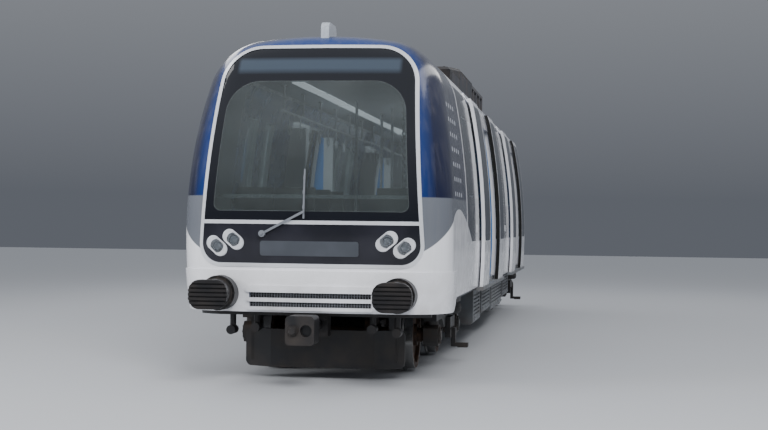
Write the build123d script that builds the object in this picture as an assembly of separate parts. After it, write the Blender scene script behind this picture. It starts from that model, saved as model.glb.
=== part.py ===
from build123d import *
from math import sqrt
import os

os.makedirs("parts", exist_ok=True)

# Driverless light metro lead car. Millimetres, front faces -Y, +X to the side, +Z up.
# Heights are above the tips of the wheel flanges, lengths are measured back from the nose plane.

# Wheels and bogies
flange_height = 28.0
wheel_radius = 355.0
gauge = 1435.0
tyre_width = 130.0
axle_radius = 75.0
journal_radius = 60.0
journal_gap = 0.4
brake_disc_radius = 250.0
brake_disc_width = 90.0
brake_disc_x = 330.0
wheelbase = 2000.0
front_pivot = 2850.0
axle_z = wheel_radius + flange_height
flange_radius = wheel_radius + flange_height

# Car body section
half_width = 1325.0
side_radius = 8000.0
wide_z = 1378.0
roof_z = 3428.0
roof_radius = 4500.0
shoulder_radius = 600.0
wall = 60.0
sill_z = 828.0
floor_z = 878.0
deck_depth = 100.0
band_bottom_z = 1373.0
band_top_z = 3058.0
band_thickness = 8.0
ceiling_z = 3090.0
ceiling_thickness = 25.0
ceiling_start = 1200.0

body_foot = 600.0
roof_lap = 10.0

# Lengths of the body, back from the nose plane
nose_length = 1950.0
body_length = 13770.0
bellows_length = 460.0
end_wall = 120.0
end_ring = 40.0

# The rear bogie is shared with the next car, so its pivot is in the middle of the gangway
rear_pivot = body_length + bellows_length / 2

# Nose
front_radius = 3125.0
front_z = 1558.0
plan_radius = 9000.0
corner_radius = 480.0
pad_reach = 450.0

# Windscreen loop and the lamp panel below it
loop_bottom_half = 1085.0
loop_top_half = 940.0
loop_bottom_z = 1148.0
loop_top_z = 3288.0
loop_bottom_corner = 200.0
loop_top_corner = 380.0
gasket_width = 36.0
gasket_depth = 22.0
gasket_proud = 6.0
glass_thickness = 12.0
bar_z = 1558.0
bar_height = 36.0

# Apron and buffer beam
apron_top_z = 1098.0
apron_bottom_z = 698.0
apron_length = 900.0
apron_proud = 15.0
apron_corner = 200.0
louvre_half = 590.0
louvre_proud = 18.0
louvre_reach = 14.0
beam_front = 250.0
beam_length = 200.0
beam_half = 1130.0
beam_z = 660.0

# Anti-climbers: ribbed pads on fat crash tubes that leave the apron through collars
pad_x = 860.0
pad_z = 880.0
pad_width = 366.0
pad_height = 276.0
pad_corner = 110.0
pad_length = 70.0
pad_ribs = 6
pad_groove = 14.0
groove_depth = 24.0
pad_edge = 8.0
tube_radius = 136.0
collar_radius = 166.0
collar_proud = 70.0
collar_gap = 1.0

# Doors: each doorway has two leaves, standing open outside the wall
door_centres = (5510.0, 11260.0)
leaf_width = 950.0
door_half_clear = 835.0
leaf_gap = 15.0
leaf_thickness = 40.0
leaf_edge = 95.0
leaf_back_edge = 40.0
leaf_corner = 80.0
leaf_glass_top_z = 2990.0
header_z = 2838.0
header_depth = 120.0
rail_height = 42.0
rail_overhang = 120.0
rail_reach = 17.0
seat_gap = 0.3

# Side windows: start and end, back from the nose plane
panes = ((2270.0, 2820.0), (3070.0, 3610.0), (7290.0, 8180.0), (8500.0, 9430.0), (13050.0, 13400.0))
pane_bottom_z = 1858.0
pane_top_z = 2748.0
pane_corner = 60.0
pane_lap = 20.0
band_start = 2060.0

# Gangway
passage_half = 750.0
passage_top_z = 2858.0
passage_corner = 180.0
passage_lap = 50.0
gangway_plate = 25.0
plate_lap = 5.0
bellows_folds = 6
bellows_out = 70.0
bellows_in = 140.0
bellows_z = 792.0

# Bogie frame
frame_x = 900.0
frame_width = 140.0
frame_low_z = 430.0
frame_top_z = 560.0
frame_end_z = 655.0
frame_end_length = 190.0
transom_half = 180.0
box_half = 110.0
box_width = 160.0
box_chamfer = 35.0
spring_radius = 70.0
pivot_radius = 100.0
pivot_gap = 0.4
bolster_half = 1160.0
bolster_length = 480.0
bolster_depth = 88.0
air_spring_radius = 215.0
air_spring_round = 45.0
motor_radius = 180.0
motor_length = 520.0
motor_y = 470.0
motor_z = 470.0

# Whole length and where the nose plane lies
rear_reach = rear_pivot + wheelbase / 2 + flange_radius
nose = (pad_reach - rear_reach) / 2

# How far cutting bodies reach: past the whole car, ahead of the nose skin, and behind it
far = 3000.0
ahead = 600.0
behind = 900.0
nose_lead = 300.0
cut_lap = 10.0


def back(distance):
    return nose + distance


def block(x0, x1, y0, y1, z0, z1):
    return Pos(x0, y0, z0) * Box(x1 - x0, y1 - y0, z1 - z0, align=Align.MIN)


def both(solid):
    return [solid, mirror(solid, Plane.YZ)]


def save(name, *shapes):
    solids = [s for shape in shapes for s in shape.solids()]
    export_step(solids[0] if len(solids) == 1 else Compound(children=solids), f"parts/{name}.step")


# Body section: flat sides bulge on a large arc, and a shoulder arc is tangent to the side and the roof
def shoulder_centre():
    side = Vector(half_width - side_radius, wide_z)
    roof = Vector(0, roof_z - roof_radius)
    reach_side = side_radius - shoulder_radius
    reach_roof = roof_radius - shoulder_radius
    gap = roof - side
    along = (reach_side ** 2 - reach_roof ** 2 + gap.length ** 2) / (2 * gap.length)
    across = sqrt(reach_side ** 2 - along ** 2)
    unit = gap.normalized()
    foot = side + unit * along
    normal = Vector(-unit.Y, unit.X)
    return max((foot + normal * across, foot - normal * across), key=lambda p: p.Y)


def section(inset, bottom):
    side = Vector(half_width - side_radius, wide_z)
    roof = Vector(0, roof_z - roof_radius)
    centre = shoulder_centre()
    to_side = (centre - side).normalized()
    to_roof = (centre - roof).normalized()
    side_end = side + to_side * (side_radius - inset)
    roof_end = roof + to_roof * (roof_radius - inset)
    middle = centre + (to_side + to_roof).normalized() * (shoulder_radius - inset)
    foot = Vector(side.X + sqrt((side_radius - inset) ** 2 - (bottom - wide_z) ** 2), bottom)
    waist = Vector(half_width - inset, wide_z)

    def left(p):
        return Vector(-p.X, p.Y)

    outline = [
        Line(left(foot), foot),
        ThreePointArc(foot, waist, side_end),
        ThreePointArc(side_end, middle, roof_end),
        ThreePointArc(roof_end, Vector(0, roof_z - inset), left(roof_end)),
        ThreePointArc(left(roof_end), left(middle), left(side_end)),
        ThreePointArc(left(side_end), left(waist), left(foot)),
    ]
    return Plane.XZ * make_face(outline)


def tube_body(inset, start, end, bottom=sill_z):
    return Pos(0, back(start), 0) * extrude(section(inset, bottom), end - start, dir=(0, 1, 0))


def skin(outer, inner, start, end, low, high, side=0):
    shell = tube_body(outer, start, end, body_foot) - tube_body(inner, start, end, body_foot)
    x0, x1 = (0, far) if side > 0 else (-far, far)
    return shell & block(x0, x1, back(start), back(end), low, high)


# Nose: body section met by a curved front, with one large radius round the corner
def front_face_solid(inset):
    centre_y = nose + front_radius
    radius = front_radius - inset
    high = roof_z + 200
    low = 400.0
    axis_y = nose + plan_radius

    def face_y(z):
        return centre_y - sqrt(radius ** 2 - (z - front_z) ** 2)

    profile = [
        Line((axis_y, low), (face_y(low), low)),
        ThreePointArc((face_y(low), low), (centre_y - radius, front_z), (face_y(high), high)),
        Line((face_y(high), high), (axis_y, high)),
        Line((axis_y, high), (axis_y, low)),
    ]
    axis = Axis((0, axis_y, 0), (0, 0, 1))
    sweep = 30.0
    start = (Plane.YZ * make_face(profile)).rotate(axis, -sweep / 2)
    return revolve(start, axis, sweep)


nose_made = {}


def nose_solid(inset):
    if inset not in nose_made:
        raw = tube_body(inset, -nose_lead, nose_length, body_foot) & front_face_solid(inset)
        face = raw.faces().sort_by(Axis.Y)[0]
        rim = [edge for edge in face.edges() if (edge @ 0.5).Z > body_foot + 1]
        nose_made[inset] = fillet(rim, corner_radius - inset)
    return nose_made[inset]


def nose_skin(outer, inner):
    return nose_solid(outer) - nose_solid(inner)


def through(face, start=-behind, end=behind):
    return Pos(0, back(start), 0) * extrude(Plane.XZ * face, end - start, dir=(0, 1, 0))


def loop_face(grow):
    top, bottom = loop_top_z + grow, loop_bottom_z - grow
    low_half, high_half = loop_bottom_half + grow, loop_top_half + grow
    outline = Polyline((-low_half, bottom), (low_half, bottom), (high_half, top), (-high_half, top), close=True)
    face = make_face(outline)
    corners = face.vertices().sort_by(Axis.Y)
    face = fillet(corners[:2], loop_bottom_corner + grow)
    corners = [v for v in face.vertices() if v.Y > top - 1]
    return fillet(corners, loop_top_corner + grow)


def oval(x, z, long, short, tilt):
    return Pos(x, z) * Rot(0, 0, tilt) * SlotOverall(long, short)


# Headlamps: centre from the axis, height, length, width and tilt of each slanted oval
headlamps = ((740.0, 1388.0, 175.0, 150.0, -40.0), (905.0, 1325.0, 175.0, 150.0, -40.0))
bezel_width = 14.0
bezel_proud = 10.0
lamp_depth = 40.0
display_half = 475.0
display_low_z = 1238.0
display_high_z = 1380.0
display_corner = 25.0


def lamp_ovals(shrink):
    ovals = []
    for x, z, long, short, tilt in headlamps:
        ovals += [oval(x, z, long - 2 * shrink, short - 2 * shrink, tilt)]
        ovals += [oval(-x, z, long - 2 * shrink, short - 2 * shrink, -tilt)]
    return ovals


def display_face():
    height = display_high_z - display_low_z
    plate = RectangleRounded(2 * display_half, height, display_corner)
    return Pos(0, (display_low_z + display_high_z) / 2) * plate


def make_front():
    shell = nose_solid(0) - through(loop_face(gasket_width / 2))
    shell -= block(-far, far, back(-ahead), back(nose_length), 0, sill_z)
    shell -= block(-far, far, back(-ahead), back(apron_length), 0, apron_top_z)
    save("nose_shell", shell - nose_solid(wall))

    inner_loop = through(loop_face(-gasket_width / 2))
    ring = nose_skin(-gasket_proud, gasket_depth) & (through(loop_face(gasket_width / 2)) - inner_loop)
    bar_low, bar_high = bar_z - bar_height / 2, bar_z + bar_height / 2
    bar_box = block(-far, far, back(-ahead), back(behind), bar_low, bar_high)
    bar = nose_skin(-gasket_proud, gasket_depth) & inner_loop & bar_box
    save("windscreen_frame", ring + bar)

    above = block(-far, far, back(-ahead), back(behind), bar_high, roof_z)
    below = block(-far, far, back(-ahead), back(behind), loop_bottom_z, bar_low)
    save("windscreen", nose_skin(0, glass_thickness) & inner_loop & above)

    panel = nose_skin(0, gasket_depth) & inner_loop & below
    for face in lamp_ovals(0):
        panel -= through(face)
    panel -= through(display_face())
    save("lamp_panel", panel)
    lens_skin = nose_skin(0, lamp_depth)
    bezel_skin = nose_skin(-bezel_proud, lamp_depth)
    save("headlamp_lenses", *[lens_skin & through(face) for face in lamp_ovals(bezel_width)])
    rims = zip(lamp_ovals(0), lamp_ovals(bezel_width))
    save("headlamp_bezels", *[bezel_skin & (through(rim) - through(hole)) for rim, hole in rims])
    save("display_panel", nose_skin(-bezel_proud / 2, lamp_depth) & through(display_face()))


# Wiper: pivot on the lamp panel, arm up to an upright blade
wiper_pivot = (-450.0, 1448.0)
wiper_elbow = (-50.0, 1660.0)
wiper_top_z = 2058.0
wiper_boss = 32.0
wiper_arm = 22.0
wiper_stand = 34.0
wiper_boss_rise = 12.0
wiper_foot = 60.0
blade_width = 16.0
blade_depth = 22.0


def bar_between(start, end, width):
    run = Vector(*end) - Vector(*start)
    middle = (Vector(*start) + Vector(*end)) * 0.5
    angle = Vector(1, 0).get_signed_angle(run, Vector(0, 0, 1))
    return Pos(middle.X, middle.Y) * Rot(0, 0, angle) * SlotOverall(run.length + width, width)


def make_wiper():
    boss = nose_skin(-wiper_stand - wiper_boss_rise, 0) & through(Pos(*wiper_pivot) * Circle(wiper_boss))
    arm = nose_skin(-wiper_stand, -blade_depth) & through(bar_between(wiper_pivot, wiper_elbow, wiper_arm))
    foot = (wiper_elbow[0], wiper_elbow[1] - wiper_foot)
    tip = (wiper_elbow[0], wiper_top_z)
    blade = nose_skin(-blade_depth, -seat_gap) & through(bar_between(foot, tip, blade_width))
    save("wiper", boss + arm + blade)


# Louvre bars on the apron: lower and upper edge of each
louvre_bars = ((716.0, 750.0), (798.0, 836.0), (888.0, 954.0))

# Pipe cocks under the buffer beam: distance from the axis and drop of each
cocks = ((570.0, 120.0), (810.0, 150.0))
cock_pipe = 30.0
cock_head = 44.0
cock_length = 150.0


def make_apron():
    side = block(-far, far, back(-ahead), back(apron_length), apron_bottom_z, apron_top_z)
    rear_low = side.edges().filter_by(Axis.X).sort_by(Axis.Y)[2:].sort_by(Axis.Z)[0]
    apron = nose_skin(-apron_proud, wall) & fillet(rear_low, apron_corner)
    for (low, top), (next_low, _) in zip(louvre_bars, louvre_bars[1:]):
        apron -= block(-louvre_half, louvre_half, back(-ahead), back(beam_front), top, next_low)
    bar_skin = nose_skin(-apron_proud - louvre_proud, -apron_proud + louvre_reach)
    for low, top in louvre_bars:
        bar_face = Pos(0, (low + top) / 2) * SlotOverall(2 * louvre_half + top - low, top - low)
        apron += bar_skin & through(bar_face)
    for x in (-pad_x, pad_x):
        apron -= along_y(x, pad_z, collar_radius + collar_gap, -ahead, ahead)
    save("front_apron", apron)
    beam = block(-beam_half, beam_half, back(beam_front), back(beam_front + beam_length), beam_z, floor_z)
    beam &= nose_solid(wall + 2)
    for x, drop in [(sign * x, drop) for x, drop in cocks for sign in (-1, 1)]:
        beam += upright(x, back(beam_front + beam_length / 2), beam_z - drop, beam_z + cock_pipe, cock_pipe)
        beam += along_y(x, beam_z - drop, cock_head, beam_front, beam_front + cock_length)
    beam += block(-bracket_half, bracket_half, back(beam_front), back(bracket_end),
                  beam_z - bracket_plate, beam_z)
    beam += block(-bracket_half, bracket_half, back(bracket_start), back(bracket_end),
                  coupler_z - bracket_half, floor_z - deck_depth)
    save("buffer_beam", beam)


def along_y(x, z, radius, start, end):
    rod = Cylinder(radius, end - start, align=(Align.CENTER, Align.CENTER, Align.MIN))
    return Pos(x, back(start), z) * Rot(-90, 0, 0) * rod


def along_x(x0, x1, y, z, radius):
    rod = Cylinder(radius, x1 - x0, align=(Align.CENTER, Align.CENTER, Align.MIN))
    return Pos(x0, y, z) * Rot(0, 90, 0) * rod


def upright(x, y, z0, z1, radius):
    return Pos(x, y, z0) * Cylinder(radius, z1 - z0, align=(Align.CENTER, Align.CENTER, Align.MIN))


def make_anticlimbers():
    pads = []
    for x in (-pad_x, pad_x):
        face = Pos(x, pad_z) * RectangleRounded(pad_width, pad_height, pad_corner)
        pad = through(face, -pad_reach, -pad_reach + pad_length)
        pad = chamfer(pad.faces().sort_by(Axis.Y)[0].edges(), pad_edge)
        pitch = pad_height / (pad_ribs + 1)
        for rib in range(pad_ribs):
            z = pad_z - pad_height / 2 + (rib + 1) * pitch
            pad -= block(x - pad_width, x + pad_width, back(-pad_reach - cut_lap), back(-pad_reach + groove_depth),
                         z - pad_groove / 2, z + pad_groove / 2)
        tube = along_y(x, pad_z, tube_radius, -pad_reach + pad_length, -collar_proud)
        collar = along_y(x, pad_z, collar_radius, -collar_proud, beam_front)
        pads.append(pad + tube + collar)
    save("anticlimbers", *pads)


# Coupler: hook head on a shank, hinged in a bracket under the deck
coupler_z = 560.0
coupler_reach = 380.0
coupler_head_half = 135.0
coupler_head_length = 260.0
coupler_head_edge = 40.0
shank_radius = 52.0
bracket_half = 110.0
bracket_plate = 40.0
bracket_start = 460.0
bracket_end = 610.0
cone_radius = 55.0
cone_length = 60.0
cone_x = 60.0


def make_coupler():
    head_end = coupler_head_length - coupler_reach
    head = block(-coupler_head_half, coupler_head_half, back(-coupler_reach), back(head_end),
                 coupler_z - coupler_head_half, coupler_z + coupler_head_half)
    head = fillet(head.edges().filter_by(Axis.Y), coupler_head_edge)
    socket = along_y(cone_x, coupler_z, cone_radius, -coupler_reach, -coupler_reach + cone_length)
    cone = Cone(cone_radius, cone_radius / 2, cone_length, align=(Align.CENTER, Align.CENTER, Align.MIN))
    cone = Pos(-cone_x, back(-coupler_reach), coupler_z) * Rot(90, 0, 0) * cone
    shank = along_y(0, coupler_z, shank_radius, head_end, bracket_start)
    save("coupler", head - socket + cone + shank)


# Obstacle deflector in front of the first wheels: a plough with swept ends, held by posts
deflector_half = 810.0
deflector_flat = 520.0
deflector_start = 740.0
deflector_sweep = 150.0
deflector_thickness = 50.0
deflector_low_z = 113.0
deflector_high_z = 493.0
deflector_corner = 60.0
deflector_post = 90.0
post_x = 700.0


def make_deflector():
    front, depth = back(deflector_start), deflector_thickness
    sweep = front + deflector_sweep
    plan = Polyline((-deflector_half, sweep), (-deflector_flat, front), (deflector_flat, front),
                    (deflector_half, sweep), (deflector_half, sweep + depth), (deflector_flat, front + depth),
                    (-deflector_flat, front + depth), (-deflector_half, sweep + depth), close=True)
    plate = Pos(0, 0, deflector_low_z) * extrude(make_face(plan), deflector_high_z - deflector_low_z)
    outline = Pos(0, (deflector_low_z + deflector_high_z) / 2) * RectangleRounded(
        2 * deflector_half, deflector_high_z - deflector_low_z, deflector_corner)
    plate &= through(outline, 0, 2 * deflector_start)
    deck_low = floor_z - deck_depth
    for x in (-post_x, post_x):
        low = deflector_low_z + deflector_corner
        post = block(x - deflector_post / 2, x + deflector_post / 2, sweep - depth, sweep + 2 * depth,
                     low, deck_low)
        plate += post
    save("obstacle_deflector", plate)


# Walls, in bays between the doorways
def bays():
    starts = [nose_length] + [centre + leaf_width for centre in door_centres]
    ends = [centre - leaf_width for centre in door_centres] + [body_length]
    return list(zip(starts, ends))


def pane_prism(start, end, grow):
    width, height = end - start + 2 * grow, pane_top_z - pane_bottom_z + 2 * grow
    face = RectangleRounded(width, height, pane_corner + grow)
    middle = Pos(0, back((start + end) / 2), (pane_bottom_z + pane_top_z) / 2)
    return middle * extrude(Plane.YZ * face, far, dir=(1, 0, 0))


def make_walls():
    walls, bands, glass = [], [], []
    for start, end in bays():
        inside = [p for p in panes if start < p[0] < end]
        band_from = max(start, band_start)
        bay = skin(0, wall, start, end, sill_z, band_top_z, side=1)
        band = skin(0, band_thickness, band_from, end, band_bottom_z, band_top_z, side=1)
        bay -= band
        for pane in inside:
            hole = pane_prism(*pane, 0)
            glass.append(band & pane_prism(*pane, -seat_gap))
            band -= hole
            bay -= pane_prism(*pane, -pane_lap)
        walls.append(bay)
        bands.append(band)
    save("side_wall_right", *walls)
    save("side_wall_left", *[mirror(bay, Plane.YZ) for bay in walls])
    save("window_bands", *[piece for band in bands for piece in both(band)])
    save("window_glass", *[piece for pane in glass for piece in both(pane)])


def make_doors():
    leaves, rails, headers, glass = [], [], [], []
    for centre in door_centres:
        for side in (-1, 1):
            lead = centre + side * door_half_clear
            tail = lead + side * leaf_width
            start, end = min(lead, tail), max(lead, tail)
            leaf = skin(-leaf_gap - leaf_thickness, -leaf_gap, start, end, sill_z, band_top_z, side=1)
            glass_a = lead + side * leaf_edge
            glass_b = tail - side * leaf_back_edge
            width = abs(glass_b - glass_a)
            height = leaf_glass_top_z - band_bottom_z
            face = RectangleRounded(width, height, leaf_corner)
            middle = Pos(0, back((glass_a + glass_b) / 2), (leaf_glass_top_z + band_bottom_z) / 2)
            window = middle * extrude(Plane.YZ * face, far, dir=(1, 0, 0))
            glass.append(leaf & window)
            leaves.append(leaf - window)
        rail_from = centre - door_half_clear - leaf_width - rail_overhang
        rail_to = centre + door_half_clear + leaf_width + rail_overhang
        rail_low = sill_z - rail_height
        outer = tube_body(-leaf_gap - leaf_thickness - rail_reach, rail_from, rail_to, rail_low)
        inner = tube_body(wall, rail_from, rail_to, rail_low)
        rail = (outer - inner) & block(0, far, back(rail_from), back(rail_to), rail_low, sill_z - seat_gap)
        rails.append(rail)
        header = skin(0, header_depth, centre - leaf_width, centre + leaf_width, header_z, band_top_z, side=1)
        headers.append(header)
    save("doors_right", *leaves)
    save("doors_left", *[mirror(leaf, Plane.YZ) for leaf in leaves])
    for node, shapes in (("door_glass", glass), ("door_rails", rails), ("door_headers", headers)):
        save(node, *[piece for shape in shapes for piece in both(shape)])


def make_body():
    make_walls()
    make_doors()
    roof = skin(0, wall, nose_length, body_length, band_top_z, roof_z + roof_lap)
    save("roof_shell", roof)
    deck_low = floor_z - deck_depth
    deck_start = beam_front + beam_length
    deck = nose_solid(wall) & block(-far, far, back(deck_start), back(nose_length), deck_low, floor_z)
    deck += tube_body(wall, nose_length, body_length, deck_low) & block(
        -far, far, back(nose_length), back(body_length), deck_low, floor_z)
    deck += block(-passage_half, passage_half, back(body_length - passage_lap),
                  back(body_length + bellows_length), floor_z - gangway_plate, floor_z)
    save("floor_deck", deck)
    ceiling = tube_body(wall, nose_length, body_length - end_wall, sill_z)
    ceiling &= block(-far, far, back(nose_length), back(body_length), ceiling_z, ceiling_z + ceiling_thickness)
    ceiling += nose_solid(wall) & block(
        -far, far, back(ceiling_start), back(nose_length), ceiling_z, ceiling_z + ceiling_thickness)
    save("ceiling_lining", ceiling)


def passage(start, end, grow=0.0):
    half = passage_half + grow
    hole = block(-half, half, back(start), back(end), floor_z - grow, passage_top_z + grow)
    return fillet([e for e in hole.edges().filter_by(Axis.Y) if (e @ 0.5).Z > floor_z + 1], passage_corner)


def make_gangway():
    start, end = body_length - end_wall, body_length
    hole = passage(start - cut_lap, body_length + bellows_length + end_ring + cut_lap)
    wall_solid = tube_body(wall, start, end, floor_z) - hole
    save("rear_end_wall", wall_solid)
    pitch = bellows_length / bellows_folds
    folds = None
    for fold in range(bellows_folds):
        y = body_length + fold * pitch
        for a, b in ((bellows_in, bellows_out), (bellows_out, bellows_in)):
            first = Pos(0, back(y), 0) * section(a, bellows_z)
            second = Pos(0, back(y + pitch / 2), 0) * section(b, bellows_z)
            piece = loft([first, second], ruled=True)
            folds = piece if folds is None else folds + piece
            y += pitch / 2
    plate_low = floor_z - gangway_plate
    plate_room = block(-passage_half, passage_half, back(body_length - plate_lap),
                       back(body_length + bellows_length + plate_lap), plate_low, floor_z)
    save("gangway_bellows", folds - hole - plate_room)
    ring_start = body_length + bellows_length
    ring = tube_body(wall, ring_start, ring_start + end_ring, bellows_z) - hole
    save("gangway_frame", ring)


# Roof units, all seated on the roof skin
roof_foot = 200.0
front_unit = (2850.0, 4030.0)
front_unit_half = 620.0
front_unit_z = 3528.0
cooler_start = 5100.0
cooler_ridge = 6650.0
cooler_end = 8350.0
cooler_half = 800.0
cooler_lip_z = 3560.0
cooler_front_z = 3598.0
cooler_z = 3728.0
cooler_edge = 40.0
fan_places = (7080.0, 7880.0)
fan_radius = 290.0
fan_depth = 90.0
fan_hub = 85.0
fan_blade = 26.0
fan_blades = 7
frame_unit_gap = 30.0
frame_unit_end = 10600.0
frame_unit_half = 780.0
frame_unit_z = 3690.0
frame_unit_bays = 4
frame_post = 80.0
frame_rail = 45.0
antenna_y = 900.0
antenna_length = 420.0
antenna_width = 80.0
antenna_z = 3556.0


def roof_unit(profile, half, start, end):
    face = Plane.YZ * make_face(Polyline(*profile, close=True))
    unit = Pos(-half, 0, 0) * extrude(face, 2 * half, dir=(1, 0, 0))
    return unit - tube_body(0, start - roof_foot, end + roof_foot)


def make_fan(y):
    blades = upright(0, back(y), cooler_z - fan_depth, cooler_z - fan_depth / 3, fan_hub)
    length = fan_radius + fan_blade
    for blade in range(fan_blades):
        bar = Pos(length / 2, 0, cooler_z - fan_depth * 0.6) * Box(length, fan_blade, fan_blade)
        blades += Pos(0, back(y), 0) * Rot(0, 0, blade * 360 / fan_blades) * bar
    return blades & upright(0, back(y), cooler_z - fan_depth, cooler_z, fan_radius)


def make_roof_units():
    low = roof_z - roof_foot
    start, end = (back(y) for y in front_unit)
    profile = [(start, low), (end, low), (end, front_unit_z), (start, front_unit_z)]
    save("roof_front_unit", roof_unit(profile, front_unit_half, *front_unit))

    start, end = back(cooler_start), back(cooler_end)
    profile = [(start, low), (end, low), (end, cooler_z), (back(cooler_ridge), cooler_z),
               (start + 2 * cooler_edge, cooler_front_z), (start, cooler_lip_z)]
    cooler = Pos(-cooler_half, 0, 0) * extrude(
        Plane.YZ * make_face(Polyline(*profile, close=True)), 2 * cooler_half, dir=(1, 0, 0))
    cooler = chamfer([e for e in cooler.edges().filter_by(Axis.Y) if (e @ 0.5).Z > cooler_lip_z], cooler_edge)
    cooler -= tube_body(0, cooler_start - roof_foot, cooler_end + roof_foot)
    for y in fan_places:
        cooler -= upright(0, back(y), cooler_z - fan_depth, cooler_z + roof_foot, fan_radius)
        cooler += make_fan(y)
    save("air_conditioner", cooler)

    frame_start = cooler_end + frame_unit_gap
    start, end = back(frame_start), back(frame_unit_end)
    profile = [(start, low), (end, low), (end, frame_unit_z), (start, frame_unit_z)]
    frame = roof_unit(profile, frame_unit_half, frame_start, frame_unit_end)
    pitch = (end - start - frame_post) / frame_unit_bays
    inner = frame_unit_half - frame_post
    for bay in range(frame_unit_bays):
        near = start + frame_post + bay * pitch
        far_side = near + pitch - frame_post
        frame -= block(-inner, inner, near, far_side, roof_z + frame_rail, frame_unit_z + roof_foot)
        frame -= block(-far, far, near, far_side, roof_z, frame_unit_z - frame_rail)
    save("roof_frame_unit", frame)

    base = roof_z - roof_foot
    fin = Pos(0, back(antenna_y), base) * Box(
        antenna_width, antenna_length, antenna_z - base, align=(Align.CENTER, Align.CENTER, Align.MIN))
    fin = fillet(fin.edges().filter_by(Axis.X).group_by(Axis.Z)[-1], antenna_width)
    save("roof_antenna", fin - nose_solid(0))


# Equipment under the floor: start, end, inner edge, outer edge, depth; both sides
cases = ((4850.0, 5970.0, 420.0, 1150.0, 480.0), (6200.0, 7700.0, 420.0, 1150.0, 430.0),
         (7900.0, 10300.0, 420.0, 1150.0, 480.0), (10500.0, 12000.0, 420.0, 1150.0, 400.0))
case_edge = 30.0
case_slot = 22.0
slot_pitch = 48.4
case_slots = 6
slot_depth = 18.0
slot_margin = 110.0
tank = (5200.0, 6900.0)
tank_z = 560.0
tank_radius = 190.0
tank_end = 60.0
saddle_inset = 250.0
saddle_width = 120.0
saddle_length = 80.0


def make_equipment():
    deck_low = floor_z - deck_depth
    solids = []
    for start, end, inner, outer, depth in cases:
        low = deck_low - depth
        case = block(inner, outer, back(start), back(end), low, deck_low)
        case = chamfer(case.edges().filter_by(Axis.Y).group_by(Axis.Z)[0], case_edge)
        for slot in range(case_slots):
            z = low + slot_margin + slot * slot_pitch
            case -= block(outer - slot_depth, outer + slot_depth,
                          back(start + slot_margin), back(end - slot_margin), z, z + case_slot)
        solids += both(case)
    save("equipment_cases", *solids)
    start, end = tank
    reservoir = along_y(0, tank_z, tank_radius, start, end)
    reservoir = chamfer(reservoir.edges().filter_by(GeomType.CIRCLE), tank_end)
    for y in (start + saddle_inset, end - saddle_inset - saddle_length):
        reservoir += block(-saddle_width / 2, saddle_width / 2, back(y), back(y + saddle_length),
                           tank_z, deck_low)
    save("air_reservoir", reservoir)


# Inside: moulded seats in pairs, poles, screens, handrail and console
# Where each seat front lies, back from the nose plane, and how the shell runs from its lip to the backrest
seat_rows = (1500.0, 2400.0, 3300.0, 7200.0, 8000.0, 8800.0, 9600.0, 12800.0)
seat_width = 430.0
seat_split = 24.0
seat_wall_gap = 40.0
seat_depth = 420.0
seat_height = 440.0
seat_back_height = 1060.0
seat_lean = 110.0
seat_shell = 38.0
seat_round = 90.0
seat_leg = 110.0
seat_leg_start = 130.0
pole_radius = 18.0
pole_side = 300.0
pole_spread = 1060.0
screen_width = 300.0
screen_thickness = 30.0
screen_top_z = 2758.0
handrail_z = 1806.0
rail_half = 1110.0
rail_stand = 60.0
rail_width = 36.0
console_end = 760.0
console_drop = 40.0
console_gap = 10.0


def seat_profile(y, thickness):
    seat_z = floor_z + seat_height
    path = [(back(y), seat_z), (back(y + seat_depth), seat_z),
            (back(y + seat_depth + seat_lean), floor_z + seat_back_height)]
    line = FilletPolyline(*path, radius=seat_round)
    return trace(line, thickness)


def make_interior():
    seats = []
    outer = half_width - wall - seat_wall_gap
    for y in seat_rows:
        face = seat_profile(y, seat_shell)
        pair = []
        for place in range(2):
            x = outer - seat_width - place * (seat_width + seat_split)
            pair.append(Pos(x, 0, 0) * extrude(Plane.YZ * face, seat_width, dir=(1, 0, 0)))
        seat_low = floor_z + seat_height
        bench_start = outer - 2 * seat_width - seat_split
        leg_x = bench_start + seat_width / 2
        near, away = back(y + seat_leg_start), back(y + seat_leg_start + seat_leg)
        beam = block(leg_x, outer - seat_width / 2, near, away, seat_low - seat_leg, seat_low)
        leg = block(leg_x, leg_x + seat_leg, near, away, floor_z, seat_low)
        room = tube_body(wall + seat_wall_gap, beam_front, body_length)
        seats.append((pair[0] + pair[1] + beam + leg) & room)
    save("seats", *[s for seat in seats for s in both(seat)])
    poles = []
    for centre in door_centres:
        poles.append(upright(0, back(centre), floor_z, ceiling_z, pole_radius))
        for x in (-pole_side, pole_side):
            for dy in (-pole_spread, pole_spread):
                poles.append(upright(x, back(centre + dy), floor_z, ceiling_z, pole_radius))
    screens = []
    inner_edge = half_width - wall - screen_width
    for centre in door_centres:
        for start in (centre - leaf_width - screen_thickness, centre + leaf_width):
            screen = tube_body(wall, start, start + screen_thickness, floor_z)
            screen &= block(inner_edge, far, back(start), back(start + screen_thickness),
                            floor_z, screen_top_z)
            screens.append(screen)
    save("draught_screens", *[s for screen in screens for s in both(screen)])
    console = nose_solid(wall + 1)
    console &= block(-far, far, back(beam_front + console_gap), back(console_end),
                     floor_z, front_z - console_drop)
    save("front_console", console)
    end = rail_half - rail_width / 2
    rail = nose_skin(wall + rail_stand, wall + rail_stand + rail_width)
    rail &= through(Pos(0, handrail_z) * Rectangle(2 * rail_half, rail_width))
    posts = nose_skin(wall, wall + rail_stand + rail_width)
    for x in (-end, end):
        rail += posts & through(Pos(x, handrail_z) * Rectangle(rail_width, rail_width))
    save("grab_rails", *poles, rail)


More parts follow.
